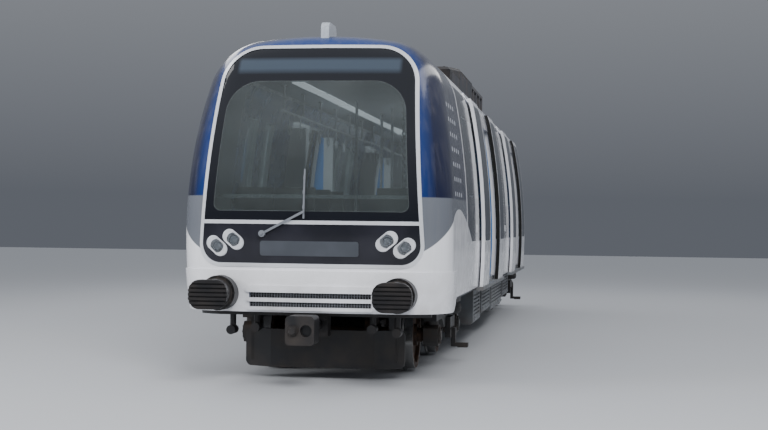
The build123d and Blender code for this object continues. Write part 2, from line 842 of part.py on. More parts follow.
# Wheelset: half of the outline, from the end of the axle inwards; distance from the middle and radius
tyre_face = gauge / 2 - 37.5
axle_half = 1050.0
journal_length = 180.0
hub_radius = 115.0
hub_proud = 10.0
web_inset = 40.0
rim_depth = 60.0
flange_root = 36.0
flange_tip = (24.0, 8.0)


def wheel_profile():
    outer = tyre_face + tyre_width
    disc_out, disc_in = brake_disc_x + brake_disc_width / 2, brake_disc_x - brake_disc_width / 2
    tread, rim = wheel_radius, wheel_radius - rim_depth
    half = [
        (axle_half, 0), (axle_half, journal_radius), (axle_half - journal_length, journal_radius),
        (axle_half - journal_length, axle_radius), (outer + hub_proud, axle_radius),
        (outer + hub_proud, hub_radius), (outer - web_inset, hub_radius), (outer - web_inset, rim), (outer, rim), (outer, tread),
        (tyre_face + flange_root, tread), (tyre_face + flange_tip[0], flange_radius),
        (tyre_face + flange_tip[1], flange_radius), (tyre_face, tread), (tyre_face, rim),
        (tyre_face + web_inset, rim), (tyre_face + web_inset, hub_radius), (tyre_face - hub_proud, hub_radius),
        (tyre_face - hub_proud, axle_radius), (disc_out, axle_radius), (disc_out, brake_disc_radius),
        (disc_in, brake_disc_radius), (disc_in, axle_radius),
    ]
    return [(-x, radius) for x, radius in half] + list(reversed(half))


def make_wheelsets():
    profile = make_face(Polyline(*wheel_profile(), close=True))
    wheelset = revolve(profile, Axis.X, 360)
    number = 0
    for pivot in (front_pivot, rear_pivot):
        for dy in (-wheelbase / 2, wheelbase / 2):
            number += 1
            save(f"wheelset_{number}", Pos(0, back(pivot + dy), axle_z) * wheelset)


# Bogie frame: side members dip between the axles, a transom joins them and carries motors and calipers
frame_flat = 420.0
frame_neck = 640.0
frame_arm_depth = 115.0
motor_mount = 160.0
lap = 10.0
cheek_gap = 6.0
cheek_thickness = 30.0
cheek_length = 210.0
cheek_start = 690.0
cheek_low = 40.0
cheek_high = 88.0
bridge_length = 46.0
arm_width = 80.0
arm_height = 60.0
shoe_plate = (50.0, 240.0, 300.0)
shoe_reach = 180.0
shoe_width = 100.0
shoe_z = 190.0
shoe_thickness = 40.0


def make_caliper(sign):
    low, high = axle_z - cheek_low, axle_z + cheek_high
    disc_out, disc_in = brake_disc_x + brake_disc_width / 2, brake_disc_x - brake_disc_width / 2
    inner, outer = disc_in - cheek_gap - cheek_thickness, disc_out + cheek_gap + cheek_thickness
    near, away = sorted((sign * cheek_start, sign * (cheek_start + cheek_length)))
    caliper = block(inner, inner + cheek_thickness, near, away, low, high)
    caliper += block(outer - cheek_thickness, outer, near, away, low, high)
    near, away = sorted((sign * cheek_start, sign * (cheek_start + bridge_length)))
    caliper += block(inner, outer, near, away, low, high)
    near, away = sorted((sign * (transom_half - lap), sign * (cheek_start + lap)))
    arm_low = high - arm_height / 2
    caliper += block(brake_disc_x - arm_width / 2, brake_disc_x + arm_width / 2, near, away,
                     arm_low, arm_low + arm_height)
    return caliper


def make_shoe():
    thickness, half_length, low = shoe_plate
    start = frame_x + frame_width
    plate = block(start - lap, start + thickness, -half_length, half_length, low, frame_low_z + shoe_width)
    inner, half = start + thickness, shoe_width / 2
    leg = block(inner - lap, inner + shoe_thickness, -half, half, shoe_z, low + lap)
    leg += block(inner - lap, inner + shoe_thickness, -half, half, low, low + shoe_width)
    shoe = block(inner, inner + shoe_reach, -half, half, shoe_z, shoe_z + shoe_thickness)
    return plate + leg + shoe


def make_bogie(name, pivot):
    axle = wheelbase / 2
    low_end = frame_end_z - frame_arm_depth
    ends = axle + frame_end_length
    profile = [(-ends, low_end), (-ends, frame_end_z), (-frame_neck, frame_end_z),
               (-frame_flat, frame_top_z), (frame_flat, frame_top_z), (frame_neck, frame_end_z),
               (ends, frame_end_z), (ends, low_end),
               (frame_neck, low_end), (frame_flat, frame_low_z), (-frame_flat, frame_low_z),
               (-frame_neck, low_end)]
    side = extrude(Plane.YZ * make_face(Polyline(*profile, close=True)), frame_width, dir=(1, 0, 0))
    side = Pos(frame_x, 0, 0) * side + make_shoe()
    frame = side + mirror(side, Plane.YZ)
    frame += block(-frame_x - lap, frame_x + lap, -transom_half, transom_half, frame_low_z, frame_top_z)
    for sign in (-1, 1):
        near, away = sorted((sign * (transom_half - lap), sign * motor_y))
        frame += block(-motor_mount, motor_mount, near, away, frame_low_z + lap, frame_top_z - lap)
        frame += along_x(-motor_length / 2, motor_length / 2, sign * motor_y, motor_z, motor_radius)
        for caliper in both(make_caliper(sign)):
            frame += caliper
    frame -= upright(0, 0, 0, 2 * floor_z, pivot_radius + pivot_gap)
    save(f"bogie_frame_{name}", Pos(0, back(pivot), 0) * frame)

    boxes = []
    middle = frame_x + frame_width / 2
    for y in (-axle, axle):
        box = block(middle - box_width / 2, middle + box_width / 2, y - box_half, y + box_half,
                    axle_z - box_half, axle_z + box_half)
        box = chamfer(box.edges().filter_by(Axis.X), box_chamfer)
        box -= along_x(middle - box_width, middle + box_width, y, axle_z, journal_radius + journal_gap)
        box += upright(middle, y, axle_z + box_half, low_end, spring_radius)
        boxes += both(box)
    bolster_low = floor_z - deck_depth - bolster_depth
    cushion_radius = min(air_spring_radius, bolster_length / 2)
    cushion = upright(middle, 0, frame_top_z, bolster_low - seat_gap, cushion_radius)
    cushion = fillet(cushion.edges().filter_by(GeomType.CIRCLE), air_spring_round)
    place = Pos(0, back(pivot), 0)
    for node, shapes in (("axleboxes", boxes), ("air_springs", both(cushion))):
        save(f"{node}_{name}", *[place * s for s in shapes])


# Bolsters under the deck; the rear one has a tongue towards the car, because the next car shares its bogie
bolster_tongue = 700.0
tongue_half = 320.0
pin_drop = 20.0


def bolster(pivot, tongue):
    deck_low = floor_z - deck_depth
    low = deck_low - bolster_depth
    beam = block(-bolster_half, bolster_half, -bolster_length / 2, bolster_length / 2, low, deck_low)
    beam += upright(0, 0, frame_low_z - pin_drop, deck_low, pivot_radius)
    if tongue:
        beam += block(-tongue_half, tongue_half, -tongue, 0, low, deck_low)
    return Pos(0, back(pivot), 0) * beam


make_front()
make_wiper()
make_apron()
make_anticlimbers()
make_coupler()
make_deflector()
make_body()
make_gangway()
make_roof_units()
make_equipment()
make_interior()
make_wheelsets()
make_bogie("front", front_pivot)
make_bogie("rear", rear_pivot)
save("bolsters", bolster(front_pivot, 0), bolster(rear_pivot, bolster_tongue))
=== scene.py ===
# %% [markdown]
# # A driverless metro car
# This lesson dresses the lead car of a light metro train: painted aluminium, flush black glass,
# rubber bellows, cast and pressed steel below. The solids come in at their real size and place,
# and every step adds a finish or a piece that sits on them. Units are metres, the nose faces -Y.

# %% Load the car
import bpy
import bmesh
import math
from itertools import product
from mathutils import Matrix, Vector
from mathutils.bvhtree import BVHTree


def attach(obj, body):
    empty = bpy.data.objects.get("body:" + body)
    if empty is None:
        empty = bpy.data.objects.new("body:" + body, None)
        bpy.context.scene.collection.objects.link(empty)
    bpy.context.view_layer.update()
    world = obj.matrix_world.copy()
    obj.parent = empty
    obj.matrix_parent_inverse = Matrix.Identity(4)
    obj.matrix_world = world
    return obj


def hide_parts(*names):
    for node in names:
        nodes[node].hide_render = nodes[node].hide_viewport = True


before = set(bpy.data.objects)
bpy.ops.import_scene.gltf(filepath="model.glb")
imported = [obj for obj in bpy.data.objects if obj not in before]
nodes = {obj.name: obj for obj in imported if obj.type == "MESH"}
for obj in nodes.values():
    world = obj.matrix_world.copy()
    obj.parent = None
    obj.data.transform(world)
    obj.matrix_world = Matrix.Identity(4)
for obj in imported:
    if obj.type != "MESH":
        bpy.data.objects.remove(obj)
scene = bpy.context.scene
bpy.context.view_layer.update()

# %% [markdown]
# Heights are read above the rail head and lengths behind the nose, as a car builder's drawing
# gives them, and two small functions turn them into frame coordinates. The wheel flanges hang
# below the rail head, so the floor of the frame is at their tips.

# %% Drawing coordinates
FLANGE = 0.028
NOSE_Y = -7.4665
BODY_MIDDLE = 2.0


def at(distance):
    return NOSE_Y + distance


def up(height):
    return height + FLANGE


# %% [markdown]
# ## Camera
# The camera stands where the photograph's camera stood, in front and well to the right of the
# track, with the same slight roll. A longer lens aims at the car alone. Keeping the place keeps
# the perspective: how fast the side shrinks depends on the distance and not on the lens.

# %% Camera
EYE = Vector((2.70, at(-13.45), up(1.51)))
TARGET = Vector((0.48, at(1.6), up(1.62)))
PHOTO_UP = Vector((-0.0374, 0.1713, 0.9845))
LENS = 68.0

camera_data = bpy.data.cameras.new("camera")
camera_data.sensor_width = 36.0
camera_data.lens = LENS
camera_data.clip_end = 200.0
camera = bpy.data.objects.new("camera", camera_data)
scene.collection.objects.link(camera)
ahead = (TARGET - EYE).normalized()
right = ahead.cross(PHOTO_UP).normalized()
above = right.cross(ahead)
turn = Matrix((right, above, -ahead)).transposed().to_4x4()
camera.matrix_world = Matrix.Translation(EYE) @ turn
scene.camera = camera
print("camera distance", round((TARGET - EYE).length, 2))

# %% [markdown]
# ## Helpers for materials
# Colours are written as sRGB hex values, as in a paint chart, and one function turns them to the
# linear values that a renderer works in. One function adds a node with its mode and its inputs,
# so that each material below reads as a short recipe.

# %% Colour and node helpers


def linear(hex_colour):
    values = []
    for start in (0, 2, 4):
        value = int(hex_colour[start:start + 2], 16) / 255
        values.append(value / 12.92 if value <= 0.04045 else ((value + 0.055) / 1.055) ** 2.4)
    return (*values, 1.0)


def plug(tree, socket, value):
    # Links a node's first output or a chosen output, or sets a value or a hex colour on the socket
    if isinstance(value, str):
        value = linear(value)
    if isinstance(value, bpy.types.Node):
        value = next(output for output in value.outputs if output.enabled)
    if isinstance(value, bpy.types.NodeSocket):
        tree.links.new(value, socket)
    else:
        socket.default_value = value


def feed(tree, node, inputs):
    for name, value in inputs.items():
        plug(tree, node.inputs[name], value)
    return node


def add(tree, kind, *values):
    # A kind of node and its inputs in order. Capitals, such as "ADD", are a sum, and a mix is of colours
    node = tree.nodes.new("ShaderNode" + ("Math" if kind.isupper() else kind))
    if kind.isupper():
        node.operation = kind
    elif kind == "Mix":
        node.data_type = "RGBA"
    for socket, value in zip([socket for socket in node.inputs if socket.enabled], values):
        plug(tree, socket, value)
    return node


def new_material(name):
    material = bpy.data.materials.new(name)
    material.use_nodes = True
    tree = material.node_tree
    tree.nodes.clear()
    return material, tree, add(tree, "TexCoord").outputs["Object"]


def finish(material, inputs):
    # Every material ends in one Principled shader with these inputs
    tree = material.node_tree
    add(tree, "OutputMaterial", feed(tree, add(tree, "BsdfPrincipled"), inputs))
    return material


def dress(material, *names):
    for name in names:
        piece = nodes[name]
        piece.data.materials.clear()
        piece.data.materials.append(material)


# %% [markdown]
# Most patterns are formulas of the place on the car: soft patches of dust, and borders at a known
# height or distance. The patches are given in millimetres, so their size can be checked.

# %% Patterns by place


def patches(tree, place, size_mm, detail, *levels):
    # Soft patches about size_mm across. Levels: low and high of the noise, then the values they turn to
    return add(tree, "MapRange", add(tree, "TexNoise", place, 1000 / size_mm, detail), *levels)


def axes(tree, place):
    # The three coordinates, with the length measured back from the nose and the height above the rail
    parts = add(tree, "SeparateXYZ", place)
    across = add(tree, "ABSOLUTE", parts.outputs[0])
    back = add(tree, "SUBTRACT", parts.outputs[1], NOSE_Y)
    height = add(tree, "SUBTRACT", parts.outputs[2], FLANGE)
    return across, back, height


def past(tree, value, edge, width=0.002):
    # 0 below the edge, 1 above it, with a soft edge of the given width
    return add(tree, "MapRange", value, edge - width, edge + width, 0.0, 1.0)


def short_of(tree, value, edge, width=0.002):
    # 1 below the edge, 0 above it
    return add(tree, "MapRange", value, edge - width, edge + width, 1.0, 0.0)


def length_of(tree, first, second):
    # The straight way between two places, from their distances along two axes
    squares = [add(tree, "POWER", value, 2.0) for value in (first, second)]
    return add(tree, "SQRT", add(tree, "ADD", *squares))


def facing_in(tree, place, with_roof):
    # 1 on the faces that look towards the middle of the car
    normal = add(tree, "SeparateXYZ", add(tree, "TexCoord").outputs["Normal"])
    parts = add(tree, "SeparateXYZ", place)
    inward = add(tree, "MULTIPLY", parts.outputs[0], normal.outputs[0])
    if with_roof:
        over = add(tree, "SUBTRACT", parts.outputs[2], BODY_MIDDLE)
        inward = add(tree, "MULTIPLY_ADD", over, normal.outputs[2], inward)
    return add(tree, "LESS_THAN", inward, -0.05)


# %% [markdown]
# ## Body paint
# The body is welded aluminium with a white two-pack enamel, sprayed and baked. Such paint is
# smooth with a faint waviness, has a clear coat that mirrors the lamps, and picks up grey dust
# along its lower edge. The colour is nearly white with a trace of blue. The faces that look
# inwards are the lining's: blue laminate on the walls, grey in the nose, off-white above.

# %% White enamel
WHITE = "E9EAEF"
DUST = "8E8A84"
SEALANT = "3C3D42"
WALL_LINING, NOSE_LINING, ROOF_LINING = "2B4E92", "8C9199", "C9CBCF"
WALL_SEAMS = (1.953, 4.46, 6.56, 10.21, 12.31)
SEAM_HALF = 0.004


def paint_wear(tree, place, colour, height):
    # Road dust that thins out above the sill, and faint streaks that rain leaves down the side
    low = add(tree, "MapRange", height, 0.62, 1.15, 0.55, 0.0)
    dust = add(tree, "MULTIPLY", patches(tree, place, 300, 6.0, 0.35, 0.7), low)
    drawn_out = feed(tree, add(tree, "Mapping", place), {"Scale": (1.0, 1.0, 0.06)})
    streaks = patches(tree, drawn_out, 60, 3.0, 0.45, 0.75, 0.0, 0.10)
    return add(tree, "Mix", add(tree, "MAXIMUM", dust, streaks), colour, DUST)


def finish_enamel(material, place, colour, height, lining, coat=0.5, polish=0.20, with_roof=False):
    tree = material.node_tree
    worn = paint_wear(tree, place, colour, height)
    waves = add(tree, "TexNoise", place, 1000 / 900, 1.0)
    return finish(material, {
        "Base Color": add(tree, "Mix", facing_in(tree, place, with_roof), worn, lining),
        "Roughness": patches(tree, place, 180, 3.0, 0.3, 0.7, polish, polish + 0.12),
        "Coat Weight": coat, "Coat Roughness": 0.08,
        "Normal": feed(tree, add(tree, "Bump"), {"Height": waves, "Distance": 0.0003, "Strength": 0.4})})


def seam_shade(tree, back, places):
    # 1 on each joint between two panels, where the sealant is darker than the paint
    shade = 0.0
    for seam in places:
        away = add(tree, "ABSOLUTE", add(tree, "SUBTRACT", back, seam))
        shade = add(tree, "MAXIMUM", shade, short_of(tree, away, SEAM_HALF, 0.0015))
    return shade


def white_enamel():
    material, tree, place = new_material("white_enamel")
    back, height = axes(tree, place)[1:]
    colour = add(tree, "Mix", seam_shade(tree, back, WALL_SEAMS), WHITE, SEALANT)
    return finish_enamel(material, place, colour, height, WALL_LINING)


enamel = white_enamel()
dress(enamel, "front_apron", "side_wall_left", "side_wall_right", "door_headers", "doors_left", "doors_right")

# %% [markdown]
# ## Livery of the nose
# The nose has two colours sprayed over the white: a blue hood round the windscreen and over the
# roof, and a grey wedge under it. The hood is one blue, with painted light that makes it paler on
# the front and painted shade that makes it navy on the flanks. Each border is a short curve, so
# the mask can be a formula of the place, which keeps its edge sharp where an image would blur.

# %% Livery masks
# One blue paint in two shades: a paler blue as painted light on the front, a navy as painted shade on the
# flanks
LIT_BLUE = "0F316F"
SHADED_NAVY = "101632"
GREY = "666A72"
DASHES = "C9CCD6"
HOOD_BOTTOM = 1.78
FRONT_RADIUS, FRONT_MIDDLE = 3.125, 1.53
# Where the painted light of the front ends and the painted shade of the flanks starts, behind the front's
# curve
LIT_BLUE_END, SHADED_NAVY_START = 0.07, 0.20
WAVE_START, WAVE_PEAK, WAVE_END = 0.05, 1.15, 2.60
WAVE_LOW, WAVE_TOP, BAND_LOW = 1.20, 1.68, 1.345
CLIMB_BEND, FALL_BEND = 2.6, 1.6
# Number, pitch and first place of the dashes, back along the flank and up it
DASH_COLUMNS, DASH_ROWS = (4, 0.205, 0.80), (7, 0.148, 1.83)
DASH_HALF_LONG, DASH_HALF_HIGH = 0.048, 0.024


def over_wave(tree, back, height):
    # 1 above the white's upper border, which climbs to its peak and falls to the window band
    to_peak = add(tree, "MapRange", back, WAVE_START, WAVE_PEAK, 1.0, 0.0)
    left_over = add(tree, "POWER", to_peak, CLIMB_BEND)
    rise = add(tree, "MULTIPLY_ADD", left_over, WAVE_LOW - WAVE_TOP, WAVE_TOP)
    fall = add(tree, "POWER", add(tree, "MapRange", back, WAVE_PEAK, WAVE_END), FALL_BEND)
    drop = add(tree, "MULTIPLY", fall, WAVE_TOP - BAND_LOW)
    border = add(tree, "SUBTRACT", rise, drop)
    return past(tree, add(tree, "SUBTRACT", height, border), 0.0, 0.004)


def dash_line(tree, value, count, pitch, first):
    # 1 within the grid, and the distance from the middle of the nearest dash
    along = add(tree, "SUBTRACT", value, first - pitch / 2)
    inside = add(tree, "MULTIPLY", past(tree, along, 0.0), short_of(tree, along, pitch * count))
    cell = add(tree, "SUBTRACT", add(tree, "WRAP", along, pitch, 0.0), pitch / 2)
    return inside, add(tree, "ABSOLUTE", cell)


def dash_grid(tree, back, height):
    # Rounded dashes in a plain grid
    in_columns, dx = dash_line(tree, back, *DASH_COLUMNS)
    in_rows, dz = dash_line(tree, height, *DASH_ROWS)
    past_straight = add(tree, "SUBTRACT", dx, DASH_HALF_LONG - DASH_HALF_HIGH)
    away = length_of(tree, add(tree, "MAXIMUM", past_straight, 0.0), dz)
    dash = short_of(tree, away, DASH_HALF_HIGH, 0.003)
    return add(tree, "MULTIPLY", dash, add(tree, "MULTIPLY", in_columns, in_rows))


def behind_front(tree, back, height):
    # How far a place lies behind the front's own curve, an arc as seen from the side
    rise = add(tree, "SUBTRACT", height, FRONT_MIDDLE)
    square = add(tree, "POWER", rise, 2.0)
    chord = add(tree, "SQRT", add(tree, "SUBTRACT", FRONT_RADIUS ** 2, square))
    return add(tree, "ADD", add(tree, "SUBTRACT", back, FRONT_RADIUS), chord)


def nose_paint():
    material, tree, place = new_material("livery_enamel")
    back, height = axes(tree, place)[1:]
    # Painted light and shade: paler blue on the front, fading to navy on the flanks behind the front's curve
    flank_shade = add(tree, "MapRange", behind_front(tree, back, height), LIT_BLUE_END, SHADED_NAVY_START)
    hood = add(tree, "Mix", flank_shade, LIT_BLUE, SHADED_NAVY)
    hood = add(tree, "Mix", dash_grid(tree, back, height), hood, DASHES)
    side = add(tree, "Mix", over_wave(tree, back, height), WHITE, GREY)
    colour = add(tree, "Mix", past(tree, height, HOOD_BOTTOM, 0.004), side, hood)
    return finish_enamel(material, place, colour, height, NOSE_LINING, coat=0.25, polish=0.13, with_roof=True)


dress(nose_paint(), "nose_shell")

# %% [markdown]
# The roof skin is the same white, but it stands under dust all year, so it greys towards the
# crown where rain doesn't wash it.

# %% Roof enamel
ROOF_SEAMS = (1.954, 4.70, 7.40, 10.90, 13.766)


def roof_enamel():
    material, tree, place = new_material("roof_enamel")
    back, height = axes(tree, place)[1:]
    grimy = add(tree, "MapRange", height, 3.20, 3.38, 0.0, 0.65)
    patchy = add(tree, "MULTIPLY", grimy, patches(tree, place, 400, 6.0, 0.3, 0.6, 0.5, 1.0))
    colour = add(tree, "Mix", patchy, WHITE, "6E6C6A")
    colour = add(tree, "Mix", seam_shade(tree, back, ROOF_SEAMS), colour, SEALANT)
    return finish_enamel(material, place, colour, height, ROOF_LINING, with_roof=True)


dress(roof_enamel(), "roof_shell")

# %% [markdown]
# ## Glass
# The windscreen is laminated glass with a black ceramic border baked on it, which hides the
# glue. A film of dust takes a little of its clearness. The side windows sit flush in a band of
# black-backed glass: a clear gloss over black needs no transparency, only a low roughness.

# %% Windscreen
LOOP_LOW, LOOP_HIGH = 1.12, 3.26
BORDER = 0.105
LOOP_LOW_HALF, LOOP_HIGH_HALF = 1.085 - BORDER, 0.940 - BORDER
PANE_LOW, PANE_HIGH = 1.638, LOOP_HIGH - 0.36
# Heights and half width of a paler band in the top of the black border, a painted reflection of the ceiling
REFLECTION_LOW, REFLECTION_HIGH, REFLECTION_HALF = 3.00, 3.13, 0.80
DUST_FILM = 0.05


def ceramic_border(tree, across, height):
    # 1 outside a pane that narrows upwards and whose corners grow rounder upwards
    half = add(tree, "MapRange", height, LOOP_LOW, LOOP_HIGH, LOOP_LOW_HALF, LOOP_HIGH_HALF)
    corner = add(tree, "MapRange", height, PANE_LOW + 0.3, PANE_HIGH - 0.3, 0.07, 0.30)
    dx = add(tree, "SUBTRACT", across, add(tree, "SUBTRACT", half, corner))
    from_middle = add(tree, "SUBTRACT", height, (PANE_LOW + PANE_HIGH) / 2)
    straight = add(tree, "SUBTRACT", (PANE_HIGH - PANE_LOW) / 2, corner)
    dz = add(tree, "SUBTRACT", add(tree, "ABSOLUTE", from_middle), straight)
    away = length_of(tree, *[add(tree, "MAXIMUM", value, 0.0) for value in (dx, dz)])
    return past(tree, add(tree, "SUBTRACT", away, corner), 0.0)


def windscreen_glass():
    material, tree, place = new_material("windscreen_glass")
    across, _, height = axes(tree, place)
    frit = ceramic_border(tree, across, height)
    # Painted reflection: a paler slate band across the top of the black border
    reflection_band = short_of(tree, height, REFLECTION_HIGH, 0.02)
    reflection_band = add(tree, "MULTIPLY", past(tree, height, REFLECTION_LOW, 0.03), reflection_band)
    reflection_band = add(tree, "MULTIPLY", reflection_band, short_of(tree, across, REFLECTION_HALF, 0.02))
    black = add(tree, "Mix", reflection_band, "14161C", "39434F")
    film = patches(tree, place, 400, 5.0, 0.3, 0.7, DUST_FILM * 0.7, DUST_FILM * 1.3)
    return finish(material, {
        "Base Color": add(tree, "Mix", frit, "B4C0C0", black),
        "Transmission Weight": add(tree, "SUBTRACT", 1.0, add(tree, "MAXIMUM", frit, film)),
        "Roughness": 0.02, "IOR": 1.5})


dress(windscreen_glass(), "windscreen")

# %% Side windows
DOOR_CENTRES = (5.51, 11.26)
LEAD, TAIL = 0.93, 1.745
DOOR_PANES = [(centre + low, centre + high) for centre in DOOR_CENTRES
              for low, high in ((-TAIL, -LEAD), (LEAD, TAIL))]
DOOR_GLASS_LOW, DOOR_GLASS_HIGH = 1.345, 2.962
DOOR_BORDER = 0.085


def clear_sheet(name, hex_colour, ior, *film):
    # Glass or plastic that is clear all through, with a film of dust in patches on it
    material, tree, place = new_material(name)
    return finish(material, {
        "Base Color": hex_colour, "Transmission Weight": 1.0, "IOR": ior,
        "Roughness": patches(tree, place, *film)})


def door_glazing():
    # Darker body-tinted glass with a printed black border round each leaf's pane
    material, tree, place = new_material("door_glazing")
    back, height = axes(tree, place)[1:]
    edge = -1.0
    for low, high in DOOR_PANES:
        away = add(tree, "ABSOLUTE", add(tree, "SUBTRACT", back, (low + high) / 2))
        inside = add(tree, "SUBTRACT", (high - low) / 2, away)
        edge = add(tree, "MAXIMUM", edge, inside)
    for above, below in ((height, DOOR_GLASS_LOW), (DOOR_GLASS_HIGH, height)):
        edge = add(tree, "MINIMUM", edge, add(tree, "SUBTRACT", above, below))
    clear = past(tree, edge, DOOR_BORDER, 0.004)
    return finish(material, {
        "Base Color": add(tree, "Mix", clear, "15161B", "59646C"),
        "Transmission Weight": clear, "IOR": 1.5,
        "Roughness": patches(tree, place, 250, 4.0, 0.3, 0.8, 0.03, 0.09)})


def black_backed_glass(name, with_wave, ior=1.5):
    material, tree, place = new_material(name)
    back, height = axes(tree, place)[1:]
    cloudy = patches(tree, place, 500, 5.0, 0.4, 0.8)
    black = add(tree, "Mix", cloudy, "1B1C22", "2B2B33")
    if with_wave:
        under = add(tree, "SUBTRACT", 1.0, over_wave(tree, back, height))
        white = add(tree, "MULTIPLY", under, add(tree, "LESS_THAN", back, WAVE_END))
        black = add(tree, "Mix", white, black, WHITE)
    return finish(material, {
        "Base Color": black, "IOR": ior,
        "Roughness": patches(tree, place, 200, 4.0, 0.3, 0.7, 0.05, 0.14)})


dress(clear_sheet("tinted_glass", "8D989C", 1.5, 250, 4.0, 0.3, 0.8, 0.02, 0.07), "window_glass")
dress(door_glazing(), "door_glass")
dress(black_backed_glass("band_glass", True), "window_bands")
dress(black_backed_glass("panel_glass", False, 1.36), "lamp_panel")

# %% [markdown]
# ## Metals and rubber
# Anodised aluminium trim is pale and satin. The buffers and the roof units are black powder
# coat, which is matt and slightly grainy. Everything under the floor is painted dark grey and
# lies under the brown dust that brakes and rails give off.

# %% Metal finishes


def anodised(name, hex_colour, roughness, metallic=0.85):
    material, tree, place = new_material(name)
    return finish(material, {
        "Base Color": hex_colour, "Metallic": metallic,
        "Roughness": patches(tree, place, 4, 2.0, 0.3, 0.7, roughness - 0.05, roughness + 0.08)})


def powder_coat(name, hex_colour, dust_amount, dust_hex="5B5048"):
    material, tree, place = new_material(name)
    dust = patches(tree, place, 220, 8.0, 0.40, 0.72, 0.0, dust_amount)
    grain = add(tree, "TexNoise", place, 1000 / 6, 3.0)
    return finish(material, {
        "Base Color": add(tree, "Mix", dust, hex_colour, dust_hex),
        "Roughness": add(tree, "MapRange", dust, 0.0, 1.0, 0.42, 0.85),
        "Normal": feed(tree, add(tree, "Bump"), {"Height": grain, "Distance": 0.00025, "Strength": 0.6})})


trim = anodised("satin_aluminium", "E2E4E9", 0.34, 0.45)
rail_steel = anodised("brushed_stainless", "B8BABD", 0.26)
wiper_grey = anodised("wiper_grey", "8A8E95", 0.4, 0.5)
black_coat = powder_coat("black_powder_coat", "131315", 0.16)
roof_coat = powder_coat("roof_black_coat", "1A1A1D", 0.35)
under_coat = powder_coat("underframe_paint", "1B1B1D", 0.45, "4A423B")
case_coat = powder_coat("case_grey_paint", "6F7377", 0.55)
cast_coat = powder_coat("cast_iron", "2C2B2A", 0.55, "4E3D30")
dress(trim, "windscreen_frame", "headlamp_bezels")
dress(wiper_grey, "wiper")
dress(rail_steel, "grab_rails")
dress(black_coat, "anticlimbers", "buffer_beam")
dress(roof_coat, "air_conditioner", "roof_front_unit")
dress(powder_coat("roof_grey_coat", "4A4B50", 0.4), "roof_frame_unit")
dress(under_coat, "bogie_frame_front", "bogie_frame_rear", "bolsters", "obstacle_deflector", "coupler")
dress(case_coat, "equipment_cases", "air_reservoir", "door_rails", "gangway_frame")
dress(cast_coat, "axleboxes_front", "axleboxes_rear")

# %% [markdown]
# A wheel is forged steel. Its tread and flange are ground bright by the rail, while the disc
# and the axle keep a brown film, so the finish depends on the distance from the axle.

# %% Wheel steel
AXLE_Z = 0.383
AXLES = (1.85, 3.85, 13.0, 15.0)


def wheel_steel(name, axle_y):
    material, tree, place = new_material(name)
    parts = add(tree, "SeparateXYZ", place)
    dy = add(tree, "SUBTRACT", parts.outputs[1], axle_y)
    dz = add(tree, "SUBTRACT", parts.outputs[2], AXLE_Z)
    bright = add(tree, "MapRange", length_of(tree, dy, dz), 0.346, 0.352)
    rust = add(tree, "Mix", patches(tree, place, 60, 6.0, 0.35, 0.7), "3B302A", "5C4331")
    return finish(material, {
        "Base Color": add(tree, "Mix", bright, rust, "A9A8A6"),
        "Metallic": add(tree, "MapRange", bright, 0.0, 1.0, 0.3, 1.0),
        "Roughness": add(tree, "MapRange", bright, 0.0, 1.0, 0.65, 0.25)})


for number, distance in enumerate(AXLES, 1):
    dress(wheel_steel(f"forged_steel_{number}", at(distance)), f"wheelset_{number}")

# %% [markdown]
# ## Rubber, cloth and linings
# The bellows are rubber-coated cloth, matt and brown-grey with dust in the folds. The air
# springs are black rubber. Inside, the ceiling is white laminate, the screens beside the doors
# are pale grey with a blue jamb, the floor is speckled rubber sheet and the seats are moulded
# laminate.

# %% Soft and inside finishes


def matt(name, first, second, size_mm, roughness, depth_mm=0.3):
    material, tree, place = new_material(name)
    spots = add(tree, "TexNoise", place, 1000 / size_mm, 5.0)
    shade = add(tree, "MapRange", spots, 0.4, 0.65)
    relief = {"Height": spots, "Distance": depth_mm / 1000, "Strength": 0.5}
    return finish(material, {
        "Base Color": add(tree, "Mix", shade, first, second),
        "Roughness": roughness, "Normal": feed(tree, add(tree, "Bump"), relief)})


def screen_laminate():
    # The blue jamb is on the far side of each doorway
    material, tree, place = new_material("screen_laminate")
    across, back = axes(tree, place)[:2]
    half_pitch = (DOOR_CENTRES[1] - DOOR_CENTRES[0]) / 2
    from_centre = add(tree, "SUBTRACT", back, DOOR_CENTRES[0])
    behind = add(tree, "WRAP", from_centre, half_pitch, -half_pitch)
    blue = add(tree, "MULTIPLY", past(tree, behind, 0.0), past(tree, across, 1.10))
    return finish(material, {
        "Base Color": add(tree, "Mix", blue, "A4A8AE", "0F6DB6"), "Roughness": 0.28})


def lamp_glass():
    clear = {"Base Color": "DCE2E8", "Roughness": 0.08, "Transmission Weight": 0.6}
    return finish(new_material("lamp_glass")[0], clear)


dress(matt("bellows_cloth", "5C5550", "6E665F", 90, 0.75), "gangway_bellows")
dress(matt("spring_rubber", "1A1A1A", "2B2926", 60, 0.6), "air_springs_front", "air_springs_rear")
dress(matt("floor_rubber", "4A4C50", "5E6064", 5, 0.55), "floor_deck")
dress(matt("white_laminate", "D9DADC", "D2D3D6", 800, 0.4, 0.1), "ceiling_lining", "rear_end_wall")
dress(screen_laminate(), "draught_screens")
dress(matt("seat_laminate", "232B40", "2C3650", 40, 0.35, 0.1), "seats")
dress(matt("antenna_plastic", "A9AFB8", "9BA1AA", 30, 0.45, 0.1), "roof_antenna")
dress(matt("console_moulding", "26282C", "303238", 3, 0.6), "front_console")
dress(matt("display_cover", "3B3F46", "43474E", 300, 0.4, 0.1), "display_panel")
dress(lamp_glass(), "headlamp_lenses")

# %% [markdown]
# ## Helpers for pieces
# The solids carry the form, and the small things on them are pieces: closed meshes in the
# frame's own coordinates. Blocks get a small bevel, because no pressed edge is quite sharp. A
# ray shot at the solids finds the place on curved skin, so each piece sits on what carries it.
# Every piece rides on one body and has the slot of its finish.

